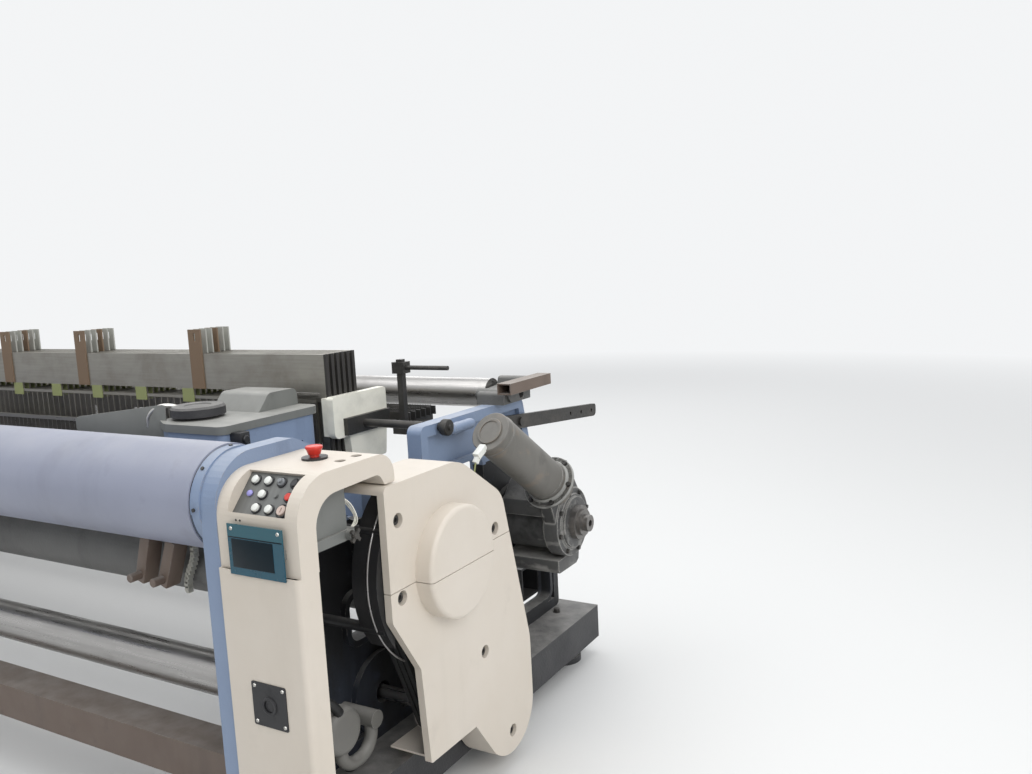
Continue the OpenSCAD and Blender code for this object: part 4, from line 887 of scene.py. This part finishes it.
cap = bmesh.new()
lathe(cap, [(0, -0.8), (9.05, -0.8), (9.15, 0.6), (8.4, 1.3), (4, 1.8), (0, 1.9)], Matrix(), 36)
cap_pattern = pattern(cap)
for button in DOMED:
    dome = cap_pattern.data.copy()
    dome.transform(on_keypad(BUTTONS[button], BUTTON_RISE))
    for face in dome.polygons:
        face.use_smooth = True
    add_piece(button + "_cap", dome, "white_plastic", body=button)
bpy.data.objects.remove(cap_pattern)
print("caps:", len(DOMED))

# %% [markdown]
# ## Reverse button, emergency stop, lamp and key
# The dark reverse button has a grey centre. The emergency stop is a red drum that widens upwards, and it
# replaces the plain one of the frame. The lamp is a low violet lens, and the key switch stands in a wide
# ring. All four are turned.

# %% Other controls
STOP_PLACE = at(2245, 205, 1027)

turned_piece("reverse_knob", [(0, 6), (5, 6), (5, 12), (4.2, 13), (0, 13)],
             on_keypad(BUTTONS["reverse_button"]), 24, "grey_plastic", body="reverse_button")
drum = turned_piece("stop_drum", [
    (0, -8), (11.2, -8), (11.2, 10.6), (14, 10.6), (18, 22), (20, 25), (20, 27.6), (19.4, 29.4), (17.6, 30.6),
    (13.5, 30.8), (12.8, 30.2), (0, 30.2)], facing(STOP_PLACE, (0, 0, 1)), 48, "red_plastic",
    body="estop_button")
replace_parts(drum, "estop_button")
turned_piece("violet_lamp", [(0, 1), (7.4, 1), (7.6, 3.4), (6, 5.6), (3, 6.6), (0, 6.9)],
             on_keypad((COLUMNS[0], ROWS[1])), 32, "violet_lens")
turned_piece("key_ring", [(13.4, 0.5), (13.4, 3.6), (14.4, 4.4), (16.2, 3.8), (16.8, 0), (13.4, 0.5)],
             on_keypad((COLUMNS[3], ROWS[0])), 40, "black_plastic")

# %% [markdown]
# ## Display
# The display is a tinted window: a strip and a border of teal film round a dark pane, with a thin line
# between the two. The film is the node itself, so only the pane and the line are laid on it, as plates.

# %% Display
PANE_X, PANE_Z = (2184, 2304), (831, 894)
LINE_X, LINE_Z = (2175, 2331), (896, 898.5)

plate_piece("display_pane", panel(PANE_X, PANE_Z), 1.2, upright(FRONT - 0.0037), 0.5, "lcd_glass")
plate_piece("display_line", panel(LINE_X, LINE_Z), 0.7, upright(FRONT - 0.0038), 0.2, "lcd_glass")

# %% [markdown]
# ## Screws and socket of the column
# The socket plate has a pale screw in every corner, the display has one in each upper corner, and two
# small dark ones sit on the ledge above it. The socket has a raised ring and a round centre.

# %% Column screws and socket
SOCKET_X, SOCKET_Z, SOCKET_SCREW = 2251, 525, 41
TO_FRONT = (0, -1, 0)

screw_frames = [facing(at(SOCKET_X + sx * SOCKET_SCREW, -2, SOCKET_Z + sz * SOCKET_SCREW), TO_FRONT)
                for sx in (-1, 1) for sz in (-1, 1)]
screw_frames += [facing(at(x, -4, 916), TO_FRONT) for x in (2185, 2321)]
copies_of("pale_screws", pan_screw(4.4), screw_frames, "pale_metal")
copies_of("ledge_screws", pan_screw(2.6), [facing(at(x, 9, 931), TO_FRONT) for x in (2189, 2201)],
          "dark_steel")
socket_frame = facing(at(SOCKET_X, -2, SOCKET_Z), TO_FRONT)
socket_ring = bmesh.new()
lathe(socket_ring, [(14.6, -2), (14.6, 2.2), (16, 3), (19, 3), (21, 1.6), (21.4, -0.2)], socket_frame, 40)
lathe(socket_ring, [(0, -1.6), (9, -1.6), (9, -0.6), (10.5, -0.2), (12.4, -0.6), (12.4, -2), (0, -2)],
      socket_frame, 36)
finish_shape("socket_ring", socket_ring, "black_plastic")

# %% [markdown]
# ## Healds
# A heald is a thin flat steel wire with an eye in its middle, and a frame carries hundreds of them. The
# construction model has only a coarse row. Here every frame gets a close row of fine wires, grown by the
# even row tree from one wire of a few dozen faces. They ride on their own frame, so they rise with it.

# %% Healds
HEALD_LOW, HEALD_HIGH, HEALD_PITCH = 736, 1056, 6.5
EYE_LOW, EYE_MIDDLE, EYE_HIGH = 889, 896, 903
HEALD_ROW = 3520  # a row fills this length, and stops short of the end blocks
HEALD_COUNT = int(HEALD_ROW / HEALD_PITCH)

wire = bmesh.new()
for low, high in ((HEALD_LOW, EYE_LOW), (EYE_HIGH, HEALD_HIGH)):
    slab(wire, rectangle(1.6, 0.5), high - low, moved(Matrix(), 0, 0, low), 0)
eye = around(6, 1.6, 7.5)
loops = [[wire.verts.new(Vector((x * (1 + wider), depth, EYE_MIDDLE + z * (1 + wider * 0.2))) / 1000)
          for x, z in eye] for depth in (-0.35, 0.35) for wider in (0.0, 0.7)]
for a, b in ((0, 1), (1, 3), (3, 2), (2, 0)):
    for i in range(6):
        wire.faces.new([loops[a][i], loops[a][(i + 1) % 6], loops[b][(i + 1) % 6], loops[b][i]])
first_x = -HEALD_PITCH * (HEALD_COUNT - 1) / 2
rows_of(wire, HEALD_COUNT, HEALD_PITCH, "heald_steel", [
    ("heald_wires_%d" % number, at(first_x + number, FIRST_FRAME_Y + (number - 1) * FRAME_PITCH, 0),
     "heald_frame_%d" % number) for number in FRAME_NUMBERS])

# %% [markdown]
# ## Reed and contact bars
# The reed is a comb of thin upright wires that beats the weft home. Behind the healds, the warp stop
# motion has toothed contact bars. The same tree makes both: the reed's wires ride on the sley, and the
# teeth stay on the frame.

# %% Reed and contact teeth
REED_COUNT, REED_PITCH, REED_Y = 735, 4, 640
TEETH_COUNT, TEETH_PITCH = 560, 6.8
FIRST_TOOTH_X, TEETH_Z = -1900, 988
FIRST_CONTACT_Y, CONTACT_PITCH, CONTACT_BARS = 1003.3, 28, 6

dent = bmesh.new()
slab(dent, rectangle(0.8, 6), 97, moved(Matrix(), 0, 0, 878), 0)
first_x = -REED_PITCH * (REED_COUNT - 1) / 2
rows_of(dent, REED_COUNT, REED_PITCH, "heald_steel", [("reed_wires", at(first_x, REED_Y, 0), "sley")])

tooth = bmesh.new()
slab(tooth, [(-2.2, 0), (2.2, 0), (0, 3.4)], 1.6, turned(90, "X"), 0)
rows_of(tooth, TEETH_COUNT, TEETH_PITCH, "dark_steel", [
    ("contact_teeth_%d" % (number + 1),
     at(FIRST_TOOTH_X, FIRST_CONTACT_Y + number * CONTACT_PITCH, TEETH_Z), "loom_frame")
    for number in range(CONTACT_BARS)])

# %% [markdown]
# ## Weft unit
# In front of the receiving unit stands a plain sheet that keeps lint off the reed's end. A short bent
# pipe rises beside the lid, and a small black switch box is fixed to the outer side.

# %% Weft unit details
LINT_SHEET = [(1165, 960), (1572, 960), (1572, 1103), (1560, 1106), (1180, 1058), (1165, 1050)]
SWITCH_FRAME = facing(at(1830, 352, 1024), (1, 0, 0))

plate_piece("reed_end_sheet", LINT_SHEET, 2.0, upright(FRONT + 0.349), 0.6, "lid_paint")
pipe = [at(1490, 352, 1040), at(1496, 350, 1066), at(1520, 352, 1090), at(1548, 362, 1100),
        at(1566, 392, 1092), at(1572, 410, 1066), at(1572, 412, 1058)]
tube_through("unit_pipe", pipe, 13, "pale_metal")
switch = bmesh.new()
bar(switch, (34, 38, 40), SWITCH_FRAME, 2.5)
lathe(switch, [(11, 38), (11, 44), (9, 46), (0, 46)], SWITCH_FRAME, 24)
finish_shape("unit_switch", switch, "black_plastic")

# %% [markdown]
# ## Let-off motor
# The let-off motor leans up and out of its gearbox: a flange, a plain tube and a stepped end cap, all
# turned on one axis. It is thicker and longer than the frame's plain one, so it replaces that. The axis is
# kept as a matrix, and everything on the motor is placed along it.

# %% Let-off motor
MOTOR_FOOT, MOTOR_TURN, MOTOR_LEAN = at(2320, 1172, 750), 263, 52.5
MOTOR = Matrix.Translation(MOTOR_FOOT) @ turned(MOTOR_TURN, "Z") @ turned(MOTOR_LEAN, "Y")

motor = turned_piece("motor_body", [
    (0, -54), (62, -54), (62, -14), (86, -14), (87, -12.5), (87, -1), (86, 0), (65, 0), (65, 324), (63.5, 326),
    (63, 348), (61, 350), (41, 350), (41, 355), (40, 356), (33, 356), (33, 353), (0, 353)],
    MOTOR, 72, "motor_paint")
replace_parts(motor, "letoff_motor")

# %% [markdown]
# ## Let-off gearbox
# The gearbox is a round casting with a flanged cover, a foot below it, and a flat shoulder that the motor
# is bolted to. Only the round part is turned. The others are plates that stand across the loom, drawn by
# their depths and heights, and they run into the round part as the real casting does.

# %% Let-off gearbox
GEAR_Y, GEAR_Z = 1260, 600
GEAR_ROUND = [(0, 0), (95, 0), (95, 166), (100, 172), (111, 176), (113, 178), (113, 225), (111, 228),
              (92, 228), (91, 231), (84, 232), (83, 239), (80, 240), (44, 240), (43, 236), (0, 236)]
GEAR_FOOT = [(1184, 452), (1192, 441), (1312, 441), (1330, 452), (1344, 530), (1290, 507), (1262, 487),
             (1184, 487)]
SHOULDER_FACE = [(1153, 610), (1365, 630), (1250, 806), (1236, 812), (1224, 806), (1126, 702),
                 (1122, 690), (1128, 678)]
SHOULDER_BODY = [(1140, 640), (1330, 650), (1232, 790), (1136, 690)]


def along_x(x0):
    """A frame in which an outline of depths and heights stands across the loom."""
    return Matrix(((0, 0, 1, x0 / 1000), (1, 0, 0, FRONT), (0, 1, 0, 0), (0, 0, 0, 1)))


gearbox = bmesh.new()
lathe(gearbox, GEAR_ROUND, facing(at(OUT_X, GEAR_Y, GEAR_Z), (1, 0, 0)), 72)
slab(gearbox, GEAR_FOOT, 208, along_x(OUT_X), 3)
slab(gearbox, SHOULDER_FACE, 40, along_x(2312), 4)
slab(gearbox, SHOULDER_BODY, 150, along_x(2168), 5)
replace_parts(finish_shape("gearbox_body", gearbox, "greasy_casting"), "letoff_gearbox")

# %% [markdown]
# ## Motor plug and lead
# A white connector is pushed on the motor's end cap, and a thin earth lead hangs from it and goes into
# the side frame. Its green and yellow are one olive, as they look from here. The path starts at the
# plug's own end, so that the two stay together.

# %% Motor plug and lead
plug = bmesh.new()
bar(plug, (20, 22, 44), moved(MOTOR, 50, 0, 352) @ turned(68, "Y"), 2.0)
bar(plug, (14, 15, 30), moved(MOTOR, 78, 0, 362) @ turned(90, "Y"), 1.5)
finish_shape("motor_plug", plug, "white_plastic")
plug_end = moved(MOTOR, 106, 0, 362).translation
lead = [plug_end + Vector(step) for step in (
    (0, 0, 0), (-0.004, -0.008, -0.040), (-0.030, 0.004, -0.100), (-0.080, 0.016, -0.150),
    (-0.130, 0.022, -0.180))]
lead.append(Vector((2.108, plug_end.y + 0.024, plug_end.z - 0.192)))
tube_through("motor_lead", lead, 5, "earth_lead", 10)

# %% [markdown]
# ## Collar, bands and bolts of the let-off
# A wiped grey collar sits where the motor meets its flange, two thin bands run round the tube, and bolts
# hold the motor's flange and the cover of the gearbox. The bolts are copies of one head on two circles.

# %% Let-off collar and bolts
FLANGE_BOLT_RADIUS, COVER_BOLT_RADIUS, COVER_FACE = 78.5, 99, 228

turned_piece("motor_collar", [
    (64.5, -1), (64.5, 6), (66, 9), (70, 9), (73, 5), (74, 0), (88.2, 0), (89, -2), (89, -8), (87, -9)],
    MOTOR, 64, "smeared_grey")
bands = bmesh.new()
for low in (20, 318):
    lathe(bands, [(64.6, low), (66.4, low + 1), (66.4, low + 5), (64.6, low + 6)], MOTOR, 64)
finish_shape("motor_bands", bands, "grey_paint")
copies_of("flange_heads", hex_bolt(8, 7), [
    moved(MOTOR, x, y, 0) for x, y in around(6, FLANGE_BOLT_RADIUS, first=30)], "dark_steel")
copies_of("gearbox_heads", hex_bolt(8, 7), [
    facing(at(OUT_X + COVER_FACE, GEAR_Y + y, GEAR_Z + z), (1, 0, 0))
    for y, z in around(8, COVER_BOLT_RADIUS, first=15)], "dark_steel")

# %% [markdown]
# ## Clamp and catch on the side frame
# Where the guide bar passes the side frame, a dark knob clamps it, and a small blue cylinder with its
# block lies behind the knob. Both are turned, and they are let a little into the casting.

# %% Clamp and catch
turned_piece("clamp_knob", [
    (0, -8), (12, -8), (12, 12), (23, 14), (25, 17), (25, 34), (23, 37), (9, 38), (8, 44), (0, 44)],
    facing(at(OUT_X, 862, 976), (1, 0, 0)), 36, "dark_steel")
cylinder = bmesh.new()
lathe(cylinder, [(0, 0), (13, 0), (15, 2), (15, 14), (17, 16), (17, 112), (15, 114), (15, 122), (0, 122)],
      facing(at(2146, 890, 962), (0, 1, 0)), 36)
bar(cylinder, (24, 30, 30), facing(at(2125, 950, 962), (1, 0, 0)), 3)
finish_shape("catch_cylinder", cylinder, "blue_paint")

# %% [markdown]
# ## Hoses and wires behind the column
# Two dark hoses come down from the terminal box, one to the oil pump and one into the side frame, and
# three thin wires loop beside the box. They are fixed wiring, held at both ends, so each is one tube
# through a few points. The thicker hose is corrugated.

# %% Hoses and wires
hose = [at(2194, 70, 830), at(2200, 92, 750), at(2196, 128, 660), at(2192, 150, 560), at(2200, 176, 470),
        at(2226, 215, 420), at(2222, 240, 390)]
tube_through("column_hose", hose, 22, "black_rubber", sides=16, step=0.005, ripple=0.0016)
cable = [at(2262, 84, 830), at(2262, 120, 720), at(2240, 170, 640), at(2214, 214, 600),
         at(2190, 240, 560), at(2150, 268, 540), at(2124, 272, 536)]
tube_through("column_cable", cable, 12, "black_rubber", sides=12)
for number, offset in enumerate((0, 7, 15)):
    thin = [at(2300 + offset, 196, 950), at(2312 + offset, 220, 925), at(2322 + offset * 0.5, 236, 890),
            at(2318, 226 + offset, 868), at(2310, 206, 862 + offset * 0.3)]
    tube_through("thin_wire_%d" % (number + 1), thin, 3, "ivory_plastic", sides=8)

# %% [markdown]
# ## Star knob and tube brackets
# A small star knob tightens the clamp of the terminal box: a turned hub with four square arms. Under the
# tube, two leaning brown brackets carry a round stud each. Each is built on one frame, so that the lean
# turns the stud as well.

# %% Star knob and brackets
STAR_FRAME = facing(at(2346, 202, 858), (1, 0, 0))
BRACKETS = ((1722, 18), (1806, 22))  # place along the tube in millimetres, lean in degrees

star = bmesh.new()
lathe(star, [(0, -4), (9, -4), (9, 8), (7, 11), (0, 11)], STAR_FRAME, 24)
for quarter in range(4):
    bar(star, (12, 9, 9), moved(STAR_FRAME @ turned(45 + 90 * quarter, "Z"), 12.5, 0, 0), 2)
finish_shape("clamp_star", star, "dark_steel")

for number, (x, lean) in enumerate(BRACKETS):
    bracket = bmesh.new()
    leaning = Matrix.Translation(at(x, 120, 700)) @ turned(lean, "Y")
    bar(bracket, (34, 46, 128), leaning, 4)
    lathe(bracket, [(0, 0), (11, 0), (11, 30), (9, 32), (0, 32)],
          moved(leaning, 0, -22, 20) @ turned(90, "X"), 24)
    finish_shape("tube_bracket_%d" % (number + 1), bracket, "brown_paint")

# %% [markdown]
# ## Cable chain, guard rim highlight and foot bolts
# A short chain of pale links hangs from the tube in a slight wave. A pale steel ring round the pulley
# guard's edge is a painted highlight, and bolts hold the side frames to their bases.

# %% Chain, rim and bolts
LINKS, LINK_DROP = 12, 12
RIM_CENTRE_Y, RIM_CENTRE_Z, RIM_RADIUS = 524, 705, 266
BASE_TOP, BASE_BOLT_X, BASE_BOLT_YS = 180, 2162, (330, 640, 930, 1240, 1480)

link = bmesh.new()
slab(link, [(-6, -9), (6, -9), (9, 0), (6, 9), (-6, 9), (-3, 0)], 16, moved(Matrix(), 0, 0, -8), 1.0)
chain_frames = [facing(at(1872 - 2 * i + 10 * math.sin(i * 0.5), 150, 813 - LINK_DROP * i), (0, 1, 0))
                for i in range(LINKS)]
copies_of("cable_chain", link, chain_frames, "pale_rubber")

# Painted highlight: a pale steel ring along the pulley guard's edge stands for the highlight on it.
rim_points = [at(2326, RIM_CENTRE_Y + RIM_RADIUS * math.cos(math.radians(a)),
                 RIM_CENTRE_Z + RIM_RADIUS * math.sin(math.radians(a))) for a in range(128, 246, 3)]
tube_through("guard_rim", rim_points, 5, "steel", sides=10, step=0.01)

copies_of("foot_bolts", hex_bolt(13, 12), [
    facing(at(side * BASE_BOLT_X, y, BASE_TOP), (0, 0, 1)) for side in (-1, 1) for y in BASE_BOLT_YS],
    "dark_steel")
